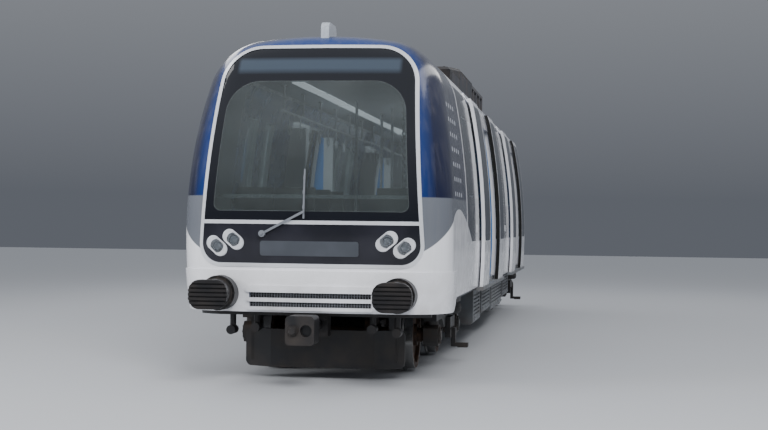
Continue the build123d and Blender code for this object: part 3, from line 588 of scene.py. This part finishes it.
# %% Piece helpers
UPRIGHT = Matrix.Rotation(math.pi / 2, 4, "X")


def new_piece(name, bm, material, body="car"):
    bmesh.ops.recalc_face_normals(bm, faces=bm.faces)
    mesh = bpy.data.meshes.new(name)
    bm.to_mesh(mesh)
    bm.free()
    mesh.materials.append(material)
    piece = bpy.data.objects.new(name, mesh)
    scene.collection.objects.link(piece)
    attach(piece, body)
    print(name, len(mesh.polygons), "faces on", body)
    return piece


def add_block(bm, corner, opposite, bevel=0.002, place=Matrix(), segments=1):
    low, high = [Vector(map(pick, corner, opposite)) for pick in (min, max)]
    size = Matrix.Diagonal((*(high - low), 1.0))
    made = bmesh.ops.create_cube(bm, size=1.0, matrix=place @ Matrix.Translation((low + high) / 2) @ size)
    if bevel:
        edges = list({edge for vert in made["verts"] for edge in vert.link_edges})
        bmesh.ops.bevel(bm, geom=edges, offset=bevel, segments=segments, affect="EDGES",
                        profile=0.5, material=-1)


def add_rod(bm, start, end, radius, sides=16, end_radius=None):
    start, end = Vector(start), Vector(end)
    turn = (end - start).to_track_quat("Z", "Y").to_matrix().to_4x4()
    last = radius if end_radius is None else end_radius
    place = Matrix.Translation((start + end) / 2) @ turn
    bmesh.ops.create_cone(bm, cap_ends=True, segments=sides, radius1=radius, radius2=last,
                          depth=(end - start).length, matrix=place)


def add_ring(bm, centre, radius, wire_radius, sides=32, wire_sides=6, place=Matrix()):
    # A wire ring round the z axis of its place
    start = Matrix.Translation((radius, 0, 0)) @ UPRIGHT
    made = bmesh.ops.create_circle(bm, segments=wire_sides, radius=wire_radius, matrix=start)
    edges = list({edge for vert in made["verts"] for edge in vert.link_edges})
    before = set(bm.verts) - set(made["verts"])
    bmesh.ops.spin(bm, geom=made["verts"] + edges, cent=(0, 0, 0), axis=(0, 0, 1), angle=2 * math.pi,
                   steps=sides, use_merge=True)
    ring = [vert for vert in bm.verts if vert not in before]
    bmesh.ops.transform(bm, matrix=Matrix.Translation(centre) @ place, verts=ring)


def add_bolt(bm, place, out, size=0.016):
    out, place = Vector(out).normalized(), Vector(place)
    add_rod(bm, place - out * 0.002, place + out * size * 0.45, size * 0.55, 6)


def add_bolt_ring(bm, centre, out, radius, count, size=0.016):
    turn = Vector(out).to_track_quat("Z", "Y").to_matrix()
    for index in range(count):
        angle = 2 * math.pi * index / count
        around = Vector((radius * math.cos(angle), radius * math.sin(angle), 0))
        add_bolt(bm, Vector(centre) + turn @ around, out, size)


def skin_from(node, keep):
    # A thin sheet over those faces of a node that the test keeps
    bm = bmesh.new()
    bm.from_mesh(nodes[node].data)
    bmesh.ops.remove_doubles(bm, verts=bm.verts, dist=0.00005)
    bm.normal_update()
    spare = [face for face in bm.faces if not keep(face.calc_center_median(), face.normal)]
    bmesh.ops.delete(bm, geom=spare, context="FACES")
    return bm


def surface_of(*names):
    bm = bmesh.new()
    for name in names:
        bm.from_mesh(nodes[name].data)
    tree = BVHTree.FromBMesh(bm)
    bm.free()
    return tree


front_skin = surface_of("nose_shell", "front_apron", "windscreen", "windscreen_frame", "lamp_panel",
                        "display_panel")
side_skin = surface_of("side_wall_left", "side_wall_right", "window_bands", "window_glass", "nose_shell",
                       "roof_shell")
roof_skin = surface_of("roof_shell", "nose_shell")
lens_skin = surface_of("headlamp_lenses")


def shoot(skin, start, way):
    # Place and normal of the skin where a ray meets it
    return skin.ray_cast(Vector(start), Vector(way))[:2]


def on_front(x, height, skin=front_skin):
    return shoot(skin, (x, at(-1.5), up(height)), (0, 1, 0))


def on_side(sign, distance, height):
    return shoot(side_skin, (sign * 3.0, at(distance), up(height)), (-sign, 0, 0))


def on_roof(x, distance):
    return shoot(roof_skin, (x, at(distance), 6.0), (0, 0, -1))


def facing(point, normal):
    # Axes on a skin: x to the side, y up the skin, z out of it
    out = normal.normalized()
    side = Vector((0, 0, 1)).cross(out).normalized()
    rise = out.cross(side)
    return Matrix.Translation(point) @ Matrix((side, rise, out)).transposed().to_4x4()


print("front", on_front(0.0, 1.53)[0], "side", on_side(1, 8.3, 1.5)[0], "roof", on_roof(0.0, 5.0)[0])

# %% [markdown]
# ## Headlamps
# The solids show each lamp as a block of glass in a plain rim. A real lamp is a bright slanted
# oval surround with a round cover in it, a reflector bowl behind that and a projector lens in
# the bowl. Each ring of points is extruded from the last one and moved on to the curve of the
# nose, which five rays have measured.

# %% Headlamps
LAMPS = [(sign * x, z) for sign in (-1, 1) for x, z in ((0.740, 1.388), (0.905, 1.325))]
# Radius of the ends, half of the straight and lean of each oval
SURROUND = (0.071, 0.0465, math.radians(-40))
RECESS = (0.0755, 0.0125, math.radians(40))
COVER = (0.0630, 0.0, 0.0)
BOWL_STEPS = ((0.97, 0.010), (0.90, 0.014), (0.80, 0.014), (0.62, 0.010))
PROJECTOR, FLATNESS, PROJECTOR_BACK = 0.038, 0.55, 0.034
REACH = 0.050


def nose_curve(x, z):
    # The nose near one lamp as a shallow dish, measured by five rays on the lamp's glass
    depths = []
    for dx, dz in ((0, 0), (REACH, 0), (-REACH, 0), (0, REACH), (0, -REACH)):
        depths.append(on_front(x + dx, z + dz - FLANGE, lens_skin)[0].y)
    middle, right_y, left_y, high_y, low_y = depths
    bend_x, bend_z = [(one + other - 2 * middle) / 2 for one, other in ((right_y, left_y), (high_y, low_y))]

    def depth(co):
        dx, dz = (co.x - x) / REACH, (co.z - z) / REACH
        slope = dx * (right_y - left_y) / 2 + dz * (high_y - low_y) / 2
        return middle + slope + bend_x * dx ** 2 + bend_z * dz ** 2
    return depth


CURVES = {lamp: nose_curve(*lamp) for lamp in LAMPS}


def lamp_outline(bm, x, z, oval, behind):
    # A slanted oval drawn upright on the lamp's centre and dropped on the nose
    radius, half_straight, lean = oval
    made = bmesh.ops.create_circle(bm, segments=48, radius=radius)["verts"]
    for vert in made:
        vert.co.x += math.copysign(half_straight, vert.co.x)
    turn = Matrix.Rotation(lean if x > 0 else -lean, 4, "Y") @ UPRIGHT
    bmesh.ops.transform(bm, matrix=Matrix.Translation((x, 0, z)) @ turn, verts=made)
    for vert in made:
        vert.co.y = CURVES[x, z](vert.co) + behind
    return list({edge for vert in made for edge in vert.link_edges})


def next_ring(bm, rim, moved):
    made = bmesh.ops.extrude_edge_only(bm, edges=rim)["geom"]
    fresh = {item for item in made if isinstance(item, bmesh.types.BMVert)}
    for vert in fresh:
        vert.co = moved(vert.co)
    return [edge for edge in bm.edges if all(vert in fresh for vert in edge.verts)]


def nearer(x, z, scale, depth):
    return lambda co: Vector((x + (co.x - x) * scale, co.y + depth, z + (co.z - z) * scale))


def on_circle(x, z, radius, behind):
    def moved(co):
        spot = Vector((x, 0, z)) + Vector((co.x - x, 0, co.z - z)).normalized() * radius
        spot.y = CURVES[x, z](spot) + behind
        return spot
    return moved


def finish_lamp_part(name, bm, wall, material, node=None):
    # The sheet is turned to the front before it gets its thickness, which grows inwards
    bm.normal_update()
    bmesh.ops.reverse_faces(bm, faces=[face for face in bm.faces if face.normal.y > 0.02])
    bmesh.ops.solidify(bm, geom=bm.faces[:], thickness=wall)
    piece = new_piece(name, bm, material)
    if node:
        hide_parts(node)


def lamp_surrounds():
    bm = bmesh.new()
    for x, z in LAMPS:
        rim = lamp_outline(bm, x, z, SURROUND, 0.005)
        rim = next_ring(bm, rim, nearer(x, z, 0.985, -0.013))
        rim = next_ring(bm, rim, nearer(x, z, 0.940, -0.004))
        rim = next_ring(bm, rim, on_circle(x, z, 0.0665, -0.005))
        next_ring(bm, rim, on_circle(x, z, 0.0640, 0.004))
    finish_lamp_part("lamp_surrounds", bm, 0.002, trim, "headlamp_bezels")


def lamp_recesses():
    # Black glass between the surround and the edge of the panel's opening
    bm = bmesh.new()
    for x, z in LAMPS:
        rim = lamp_outline(bm, x, z, RECESS, 0.0015)
        next_ring(bm, rim, on_circle(x, z, 0.0660, 0.0015))
    finish_lamp_part("lamp_recesses", bm, 0.002, nodes["lamp_panel"].data.materials[0])


def headlamp_covers():
    bm = bmesh.new()
    for x, z in LAMPS:
        rim = lamp_outline(bm, x, z, COVER, 0.0)
        for radius in (0.047, 0.030, 0.012):
            rim = next_ring(bm, rim, on_circle(x, z, radius, 0.0))
        bmesh.ops.holes_fill(bm, edges=rim, sides=0)
    clear = clear_sheet("clear_polycarbonate", "F4F6F8", 1.45, 60, 4.0, 0.3, 0.7, 0.02, 0.06)
    finish_lamp_part("headlamp_covers", bm, 0.003, clear, "headlamp_lenses")


def headlamp_bowls():
    bm = bmesh.new()
    for x, z in LAMPS:
        rim = lamp_outline(bm, x, z, COVER, 0.005)
        for scale, depth in BOWL_STEPS:
            rim = next_ring(bm, rim, nearer(x, z, scale, depth))
        bmesh.ops.holes_fill(bm, edges=rim, sides=0)
    mirror = anodised("bright_reflector", "F6F8FA", 0.30, 0.3)
    finish_lamp_part("headlamp_bowls", bm, 0.002, mirror)


def headlamp_projectors():
    bm = bmesh.new()
    flat = Matrix.Diagonal((1.0, FLATNESS, 1.0, 1.0))
    for x, z in LAMPS:
        centre = Vector((x, PROJECTOR_BACK, z))
        centre.y += CURVES[x, z](centre)
        bmesh.ops.create_uvsphere(bm, u_segments=24, v_segments=14, radius=PROJECTOR,
                                  matrix=Matrix.Translation(centre) @ flat @ UPRIGHT)
        add_ring(bm, centre, 0.040, 0.004, sides=24, place=UPRIGHT)
    new_piece("headlamp_projectors", bm, lamp_glass())


lamp_surrounds()
lamp_recesses()
headlamp_covers()
headlamp_bowls()
headlamp_projectors()

# %% [markdown]
# ## Nose fittings
# Behind the louvre bars a grille of upright fins keeps leaves out. The collars of the crash
# tubes are held by a ring of bolts, and the wiper has a domed cap with its nut and three clips
# along the blade.

# %% Nose fittings
BAR_HEIGHT = 0.789
FIN_LOW, FIN_HIGH, FIN_HALF = 0.746, 0.892, 0.585
FIN_COUNT = 45
PAD_X, PAD_Z = 0.860, 0.880
WIPER_HUB, WIPER_BLADE_X, CLIP_HEIGHTS = (-0.450, 1.420), -0.050, (1.672, 1.812, 1.952)


def louvre_grille():
    bm = bmesh.new()
    for index in range(FIN_COUNT):
        x = -FIN_HALF + 2 * FIN_HALF * index / (FIN_COUNT - 1)
        y = on_front(x, BAR_HEIGHT)[0].y
        add_block(bm, (x - 0.003, y + 0.036, FIN_LOW), (x + 0.003, y + 0.062, FIN_HIGH), 0)
    for z in (0.774, 0.862):
        middle = on_front(0.0, BAR_HEIGHT)[0].y
        for sign in (-1, 1):
            side = on_front(sign * FIN_HALF, BAR_HEIGHT)[0].y
            add_rod(bm, (0.0, middle + 0.05, z), (sign * FIN_HALF, side + 0.05, z), 0.004, 6)
    new_piece("louvre_grille", bm, powder_coat("grille_grey", "7C7F85", 0.3))


def collar_bolts():
    bm = bmesh.new()
    for sign in (-1, 1):
        add_bolt_ring(bm, (sign * PAD_X, at(-0.070), PAD_Z), (0, -1, 0), 0.151, 12, 0.015)
        for distance, radius, wire_radius in ((-0.372, 0.137, 0.006), (-0.082, 0.138, 0.007)):
            add_ring(bm, (sign * PAD_X, at(distance), PAD_Z), radius, wire_radius, place=UPRIGHT)
    new_piece("collar_bolts", bm, cast_coat)


def wiper_fittings():
    bm = bmesh.new()
    point, normal = on_front(*WIPER_HUB)
    out = normal.normalized()
    add_rod(bm, point + out * 0.040, point + out * 0.054, 0.024, 20, 0.014)
    add_rod(bm, point + out * 0.054, point + out * 0.062, 0.009, 6)
    for height in CLIP_HEIGHTS:
        place = facing(*on_front(WIPER_BLADE_X, height))
        add_block(bm, (-0.012, -0.018, 0.016), (0.012, 0.018, 0.030), 0.003, place)
    new_piece("wiper_fittings", bm, wiper_grey)


louvre_grille()
collar_bolts()
wiper_fittings()

# %% [markdown]
# ## Doorways
# Each leaf has a rubber nose along the edge where the two leaves meet. The doorway has a ribbed
# threshold of stainless steel with an apron over the floor's edge, and a rain gutter above. Two
# of the window bands on each side carry a small enamelled plate, which is left blank.

# %% Doorways
DOOR_CLEAR = 0.835
SILL_HALF = 0.945
GUTTER_HEIGHT, GUTTER_HALF = 3.075, 1.90
PLATE_DISTANCES, PLATE_HEIGHT = (3.25, 8.33), 1.49
LEADS = [at(centre + sign * DOOR_CLEAR) for centre in DOOR_CENTRES for sign in (-1, 1)]


def is_leading(centre, normal):
    return abs(normal.y) > 0.95 and min(abs(centre.y - lead) for lead in LEADS) < 0.002


rubber = matt("seal_rubber", "141414", "1F1E1D", 25, 0.55)


def door_seals(side):
    bm = skin_from(f"doors_{side}", is_leading)
    bmesh.ops.solidify(bm, geom=bm.faces[:], thickness=-0.012)
    new_piece(f"door_seals_{side}", bm, rubber)


def thresholds():
    bm = bmesh.new()
    for centre in DOOR_CENTRES:
        start, end = at(centre - SILL_HALF), at(centre + SILL_HALF)
        for sign in (-1, 1):
            add_block(bm, (sign * 1.170, start, 0.878), (sign * 1.306, end, 0.884), 0.001)
            add_block(bm, (sign * 1.268, start, 0.829), (sign * 1.300, end, 0.8775), 0.001)
            for rib in range(7):
                x = sign * (1.182 + 0.018 * rib)
                add_block(bm, (x - 0.003, start + 0.045, 0.8835), (x + 0.003, end - 0.045, 0.8865), 0)
    new_piece("thresholds", bm, rail_steel)


def gutters():
    bm = bmesh.new()
    for centre in DOOR_CENTRES:
        for sign in (-1, 1):
            place = facing(*on_side(sign, centre, GUTTER_HEIGHT))
            add_block(bm, (-GUTTER_HALF, -0.012, -0.004), (GUTTER_HALF, 0.010, 0.016), 0.004, place, 2)
            for end in (-GUTTER_HALF, GUTTER_HALF):
                add_block(bm, (end - 0.012, -0.12, -0.004), (end + 0.012, 0.010, 0.010), 0.003, place)
    new_piece("gutters", bm, enamel)


def side_plates():
    bm = bmesh.new()
    for distance in PLATE_DISTANCES:
        for sign in (-1, 1):
            place = facing(*on_side(sign, distance, PLATE_HEIGHT))
            add_block(bm, (-0.075, -0.045, -0.001), (0.075, 0.045, 0.003), 0.001, place)
            for x in (-0.065, 0.065):
                add_bolt(bm, place @ Vector((x, 0, 0.003)), place.to_3x3() @ Vector((0, 0, 1)), 0.008)
    new_piece("side_plates", bm, matt("plate_enamel", "E4E6EA", "DADCE0", 60, 0.3, 0.05))


for side in ("left", "right"):
    door_seals(side)
thresholds()
gutters()
side_plates()

# %% [markdown]
# ## Roof units
# The cooling unit breathes in through slatted panels in its sides and blows out through two
# fans, which need guards. Hatches with screws close its slope and the flat unit near the nose.
# The framed unit behind it carries two ribbed boxes in each bay, and conduits run along the roof.

# %% Roof fittings
SLOPE_START, COOLER_RIDGE = 5.180, 6.650
COOLER_HALF, COOLER_TOP, COOLER_FRONT_TOP = 0.800, 3.728, 3.598
FANS = (7.08, 7.88)
BAY_START, BAY_PITCH, BAY_LENGTH, BAYS = 8.460, 0.535, 0.455, 4


def cooler_top(distance):
    rise = (distance - SLOPE_START) / (COOLER_RIDGE - SLOPE_START)
    return min(COOLER_TOP, COOLER_FRONT_TOP + rise * (COOLER_TOP - COOLER_FRONT_TOP))


def cooler_louvres():
    bm = bmesh.new()
    for sign in (-1, 1):
        for start, end in ((5.35, 6.30), (6.45, 7.35), (7.45, 8.25)):
            high = cooler_top(start) - 0.062
            low = on_roof(sign * COOLER_HALF, start)[0].z + 0.030
            for z0, z1 in ((low, low + 0.014), (high - 0.014, high)):
                add_block(bm, (sign * 0.792, at(start), z0), (sign * 0.806, at(end), z1), 0.002)
            slats = int((end - start) / 0.034)
            for slat in range(slats + 1):
                y = at(start) + (end - start) * slat / slats
                lean = Matrix.Translation((sign * 0.799, y, 0)) @ Matrix.Rotation(sign * 0.6, 4, "Z")
                add_block(bm, (-0.009, -0.002, low), (0.009, 0.002, high), 0, lean)
    new_piece("cooler_louvres", bm, powder_coat("louvre_grey_coat", "45474C", 0.3))


def fan_guards():
    bm = bmesh.new()
    for distance in FANS:
        centre = (0.0, at(distance), COOLER_TOP + 0.007)
        for radius in (0.07, 0.12, 0.17, 0.22, 0.27, 0.305):
            add_ring(bm, centre, radius, 0.0035, sides=40, wire_sides=5)
        for spoke in range(8):
            angle = math.pi * spoke / 8
            reach = Vector((math.cos(angle), math.sin(angle), 0)) * 0.31
            add_rod(bm, Vector(centre) - reach, Vector(centre) + reach, 0.003, 6)
        add_bolt_ring(bm, (0.0, at(distance), COOLER_TOP), (0, 0, 1), 0.325, 12)
    new_piece("fan_guards", bm, rail_steel)


def hatches(bm, place, columns, rows, screws):
    # Lids with screws along both of their long edges
    for (low_x, high_x), (low_y, high_y) in product(columns, rows):
        add_block(bm, (low_x, low_y, -0.001), (high_x, high_y, 0.004), 0.002, place)
        for screw in range(screws):
            y = low_y + 0.03 + (high_y - low_y - 0.06) * screw / (screws - 1)
            for x in (low_x + 0.02, high_x - 0.02):
                add_bolt(bm, place @ Vector((x, y, 0.004)), place.to_3x3() @ Vector((0, 0, 1)), 0.012)


def roof_hatches():
    bm = bmesh.new()
    slope = math.atan2(COOLER_TOP - COOLER_FRONT_TOP, COOLER_RIDGE - SLOPE_START)
    foot = Matrix.Translation((0, at(SLOPE_START), COOLER_FRONT_TOP))
    hatches(bm, foot @ Matrix.Rotation(slope, 4, "X"), ((-0.72, -0.26), (-0.23, 0.23), (0.26, 0.72)),
            ((0.06, 0.70), (0.76, 1.40)), 6)
    hatches(bm, Matrix.Translation((0, at(2.85), 3.528)), ((-0.57, -0.03), (0.03, 0.57)),
            ((0.06, 0.56), (0.62, 1.12)), 5)
    new_piece("roof_hatches", bm, roof_coat)


def bay_boxes():
    bm = bmesh.new()
    for bay in range(BAYS):
        start = BAY_START + BAY_PITCH * bay + 0.03
        end = start + BAY_LENGTH - 0.06
        high = 3.625 if bay % 2 else 3.655
        for low_x, high_x in ((-0.62, -0.03), (0.03, 0.62)):
            add_block(bm, (low_x, at(start), 3.470), (high_x, at(end), high), 0.012, segments=2)
            for rib in range(6):
                y = at(start) + (end - start) * (rib + 0.5) / 6
                low = (low_x + 0.03, y - 0.008, high - 0.002)
                add_block(bm, low, (high_x - 0.03, y + 0.008, high + 0.012), 0.003)
    new_piece("bay_boxes", bm, powder_coat("roof_box_grey", "83868C", 0.45))


def conduits():
    bm = bmesh.new()
    for start, end in ((4.03, 5.11), (10.58, 13.60)):
        for x in (-0.30, -0.24, 0.27):
            low, high = on_roof(x, start + 0.05)[0].z, on_roof(x, end - 0.05)[0].z
            add_rod(bm, (x, at(start), low + 0.024), (x, at(end), high + 0.024), 0.016, 10)
        clamp = start + 0.25
        while clamp < end - 0.1:
            for x in (-0.27, 0.27):
                z = on_roof(x, clamp)[0].z
                low = (x - 0.06, at(clamp - 0.02), z - 0.006)
                add_block(bm, low, (x + 0.06, at(clamp + 0.02), z + 0.010), 0.003)
            clamp += 0.55
    add_block(bm, (-0.34, at(13.55), 3.40), (0.34, at(13.70), 3.475), 0.012, segments=2)
    new_piece("roof_conduits", bm, powder_coat("conduit_grey", "6A6C70", 0.5))


cooler_louvres()
fan_guards()
roof_hatches()
bay_boxes()
conduits()

# %% [markdown]
# ## Inside
# Light strips in the ceiling and overhead rails with straps show through the glass and the doors.

# %% Inside fittings
CEILING = 3.090
STRIP_X, STRIP_LENGTH, STRIP_PITCH = 0.55, 1.3, 1.42
RAIL_X, RAIL_Z = 0.78, 2.80


def light_strips():
    bm = bmesh.new()
    for x in (-STRIP_X, STRIP_X):
        start = 2.05
        while start + STRIP_LENGTH < 13.6:
            low = (x - 0.07, at(start), CEILING - 0.014)
            add_block(bm, low, (x + 0.07, at(start + STRIP_LENGTH), CEILING + 0.001), 0.005)
            start += STRIP_PITCH
    diffuser = finish(new_material("lamp_diffuser")[0], {
        "Base Color": "F4F6FA", "Roughness": 0.5,
        "Emission Color": "F4F7FF", "Emission Strength": 0.6})
    new_piece("light_strips", bm, diffuser)


def overhead_rails():
    bm = bmesh.new()
    for x in (-RAIL_X, RAIL_X):
        add_rod(bm, (x, at(2.2), RAIL_Z), (x, at(13.4), RAIL_Z), 0.016, 12)
        for hanger in range(11):
            y = at(2.4 + 1.08 * hanger)
            add_rod(bm, (x, y, RAIL_Z), (x, y, CEILING), 0.012, 10)
            add_rod(bm, (x, y, CEILING - 0.012), (x, y, CEILING), 0.032, 16)
    new_piece("overhead_rails", bm, rail_steel)


def straps():
    bm = bmesh.new()
    upright_ring = Matrix.Rotation(math.pi / 2, 4, "Y")
    for x in (-RAIL_X, RAIL_X):
        for strap in range(18):
            y = at(2.7 + 0.60 * strap)
            add_block(bm, (x - 0.003, y - 0.014, 2.660), (x + 0.003, y + 0.014, 2.818), 0.001)
            add_ring(bm, (x, y, 2.608), 0.052, 0.008, sides=18, place=upright_ring)
    new_piece("straps", bm, matt("strap_plastic", "B9BCC2", "AEB2B8", 40, 0.4, 0.1))


light_strips()
overhead_rails()
straps()

# %% [markdown]
# ## Under the floor
# The cases have hinged lids with latches. Pipes and a cable tray run between them, and each
# motor is ribbed for cooling. The axle ends are closed by bolted covers.

# %% Under the floor
CASES = ((4.85, 5.97, 0.480), (6.20, 7.70, 0.430), (7.90, 10.30, 0.480), (10.50, 12.00, 0.400))
DECK_LOW = 0.778
LID_X, LID_Z = 1.153, 0.752
PIVOTS = {"front_bogie": 2.85, "rear_bogie": 14.00}
MOTOR_BACK, MOTOR_Z = 0.47, 0.47


def case_fittings():
    bm = bmesh.new()
    for sign in (-1, 1):
        for start, end, depth in CASES:
            low = DECK_LOW - depth
            hinge_x = sign * LID_X
            add_rod(bm, (hinge_x, at(start + 0.06), LID_Z), (hinge_x, at(end - 0.06), LID_Z), 0.008, 8)
            count = max(2, round((end - start) / 0.5))
            for index in range(count):
                y = at(start) + (end - start) * (index + 0.5) / count
                for half, z in ((0.035, 0.726), (0.022, low + 0.048)):
                    add_block(bm, (sign * 1.148, y - half, z), (sign * 1.164, y + half, z + 0.038), 0.003)
                add_rod(bm, (sign * 1.163, y, low + 0.066), (sign * 1.172, y, low + 0.066), 0.012, 12)
            for y in (at(start + 0.045), at(end - 0.045)):
                for z in (low + 0.06, (low + DECK_LOW) / 2, 0.735):
                    add_bolt(bm, (sign * 1.150, y, z), (sign, 0, 0))
    new_piece("case_fittings", bm, rail_steel)


def underfloor_pipes():
    bm = bmesh.new()
    for x, radius in ((-0.37, 0.016), (-0.33, 0.012), (0.35, 0.020)):
        add_rod(bm, (x, at(4.25), 0.752), (x, at(12.5), 0.752), radius, 12)
    add_block(bm, (-0.24, at(7.0), 0.736), (-0.12, at(12.5), 0.776), 0.004)
    clamp = 4.6
    while clamp < 12.4:
        for x in (-0.35, 0.35):
            add_block(bm, (x - 0.05, at(clamp - 0.02), 0.728), (x + 0.05, at(clamp + 0.02), 0.779), 0.003)
        clamp += 0.78
    new_piece("underfloor_pipes", bm, powder_coat("pipe_paint", "55575A", 0.7))


def axle_covers(body, pivot):
    bm = bmesh.new()
    for sign in (-1, 1):
        for axle in (-1.0, 1.0):
            centre = Vector((sign * 1.050, at(pivot + axle), AXLE_Z))
            out = Vector((sign, 0, 0))
            add_rod(bm, centre + out * 0.0005, centre + out * 0.014, 0.092, 28)
            add_rod(bm, centre + out * 0.014, centre + out * 0.026, 0.058, 28, 0.050)
            add_bolt_ring(bm, centre + out * 0.014, out, 0.076, 8)
    new_piece(f"axle_covers_{body}", bm, cast_coat, body)


def bogie_fittings(body, pivot):
    bm = bmesh.new()
    middle = at(pivot)
    for axle in (-1, 1):
        y = at(pivot + axle * MOTOR_BACK)
        for fin in range(13):
            x = -0.234 + 0.036 * fin
            add_rod(bm, (x, y, MOTOR_Z), (x + 0.012, y, MOTOR_Z), 0.190, 28)
        for sign in (-1, 1):
            add_rod(bm, (sign * 0.258, y, MOTOR_Z), (sign * 0.272, y, MOTOR_Z), 0.120, 24)
            add_bolt_ring(bm, (sign * 0.260, y, MOTOR_Z), (sign, 0, 0), 0.155, 10)
    for sign in (-1, 1):
        add_block(bm, (sign * 1.150, middle - 0.046, 0.180), (sign * 1.268, middle + 0.046, 0.191), 0.004)
        for y in (-0.20, -0.07, 0.07, 0.20):
            add_bolt(bm, (sign * 1.090, middle + y, 0.400), (sign, 0, 0), 0.020)
        add_rod(bm, (sign * 0.86, middle - 0.60, 0.600), (sign * 0.86, middle + 0.60, 0.600), 0.012, 10)
        add_ring(bm, (sign * 0.97, middle, 0.625), 0.214, 0.007, sides=36)
    new_piece(f"bogie_fittings_{body}", bm, under_coat, body)


case_fittings()
underfloor_pipes()
for body, pivot in PIVOTS.items():
    axle_covers(body, pivot)
    bogie_fittings(body, pivot)

# %% [markdown]
# ## The far end
# The frame that clamps the bellows is bolted along its sides and across its top.

# %% Far end fittings
FRAME_END = 14.270


def frame_bolts():
    bm = bmesh.new()
    for sign in (-1, 1):
        for index in range(12):
            for x, size in ((1.12, 0.020), (0.86, 0.016)):
                add_bolt(bm, (sign * x, at(FRAME_END), 0.95 + 0.17 * index), (0, 1, 0), size)
    for index in range(11):
        add_bolt(bm, (-0.85 + 0.17 * index, at(FRAME_END), 3.08), (0, 1, 0), 0.020)
    new_piece("gangway_bolts", bm, rail_steel)


frame_bolts()

# %% [markdown]
# ## Floor and light
# A pale floor and soft boxes overhead light the car evenly. Long narrow boxes along it give the
# paint and the black glass the straight reflections that show their curves.

# %% Stage


def stage_floor():
    mesh = bpy.data.meshes.new("floor")
    bm = bmesh.new()
    bmesh.ops.create_grid(bm, x_segments=1, y_segments=1, size=60.0)
    bm.to_mesh(mesh)
    bm.free()
    floor = bpy.data.objects.new("floor", mesh)
    scene.collection.objects.link(floor)
    matt_grey = {"Base Color": "B2B4B8", "Roughness": 0.7}
    mesh.materials.append(finish(new_material("pale_floor")[0], matt_grey))


def soft_box(name, place, aim, width, length, watts, mirrored=True):
    data = bpy.data.lights.new(name, "AREA")
    data.shape = "RECTANGLE"
    data.size, data.size_y = width, length
    data.energy = watts
    lamp = bpy.data.objects.new(name, data)
    # A lamp's image in the back of a pane reaches the eye as a transmitted ray, so both are set
    lamp.visible_glossy = mirrored
    lamp.visible_transmission = mirrored
    scene.collection.objects.link(lamp)
    turned = (Vector(aim) - Vector(place)).to_track_quat("-Z", "Y")
    lamp.matrix_world = Matrix.Translation(place) @ turned.to_matrix().to_4x4()


stage_floor()
soft_box("key", (5.0, -19.0, 10.0), (0.0, -5.0, 1.5), 6.0, 6.0, 2400, False)
soft_box("fill", (-11.0, -14.0, 6.0), (0.0, -5.0, 1.5), 6.0, 6.0, 1300, False)
soft_box("overhead_right", (6.0, 3.5, 8.0), (0.5, 3.5, 1.5), 22.0, 1.6, 400)
soft_box("overhead_left", (-6.0, 3.5, 8.0), (-0.5, 3.5, 1.5), 22.0, 1.6, 400)

world = bpy.data.worlds.new("soft_surroundings")
scene.world = world
world.use_nodes = True
sky = world.node_tree
direction = add(sky, "SeparateXYZ", add(sky, "TexCoord").outputs["Generated"])
rise = add(sky, "MapRange", direction.outputs[2], 0.02, 0.60)
lit = add(sky, "Mix", rise, "646870", "D3D7DD")
feed(sky, sky.nodes["Background"], {"Color": lit, "Strength": 0.9})
scene.view_settings.view_transform = "AgX"
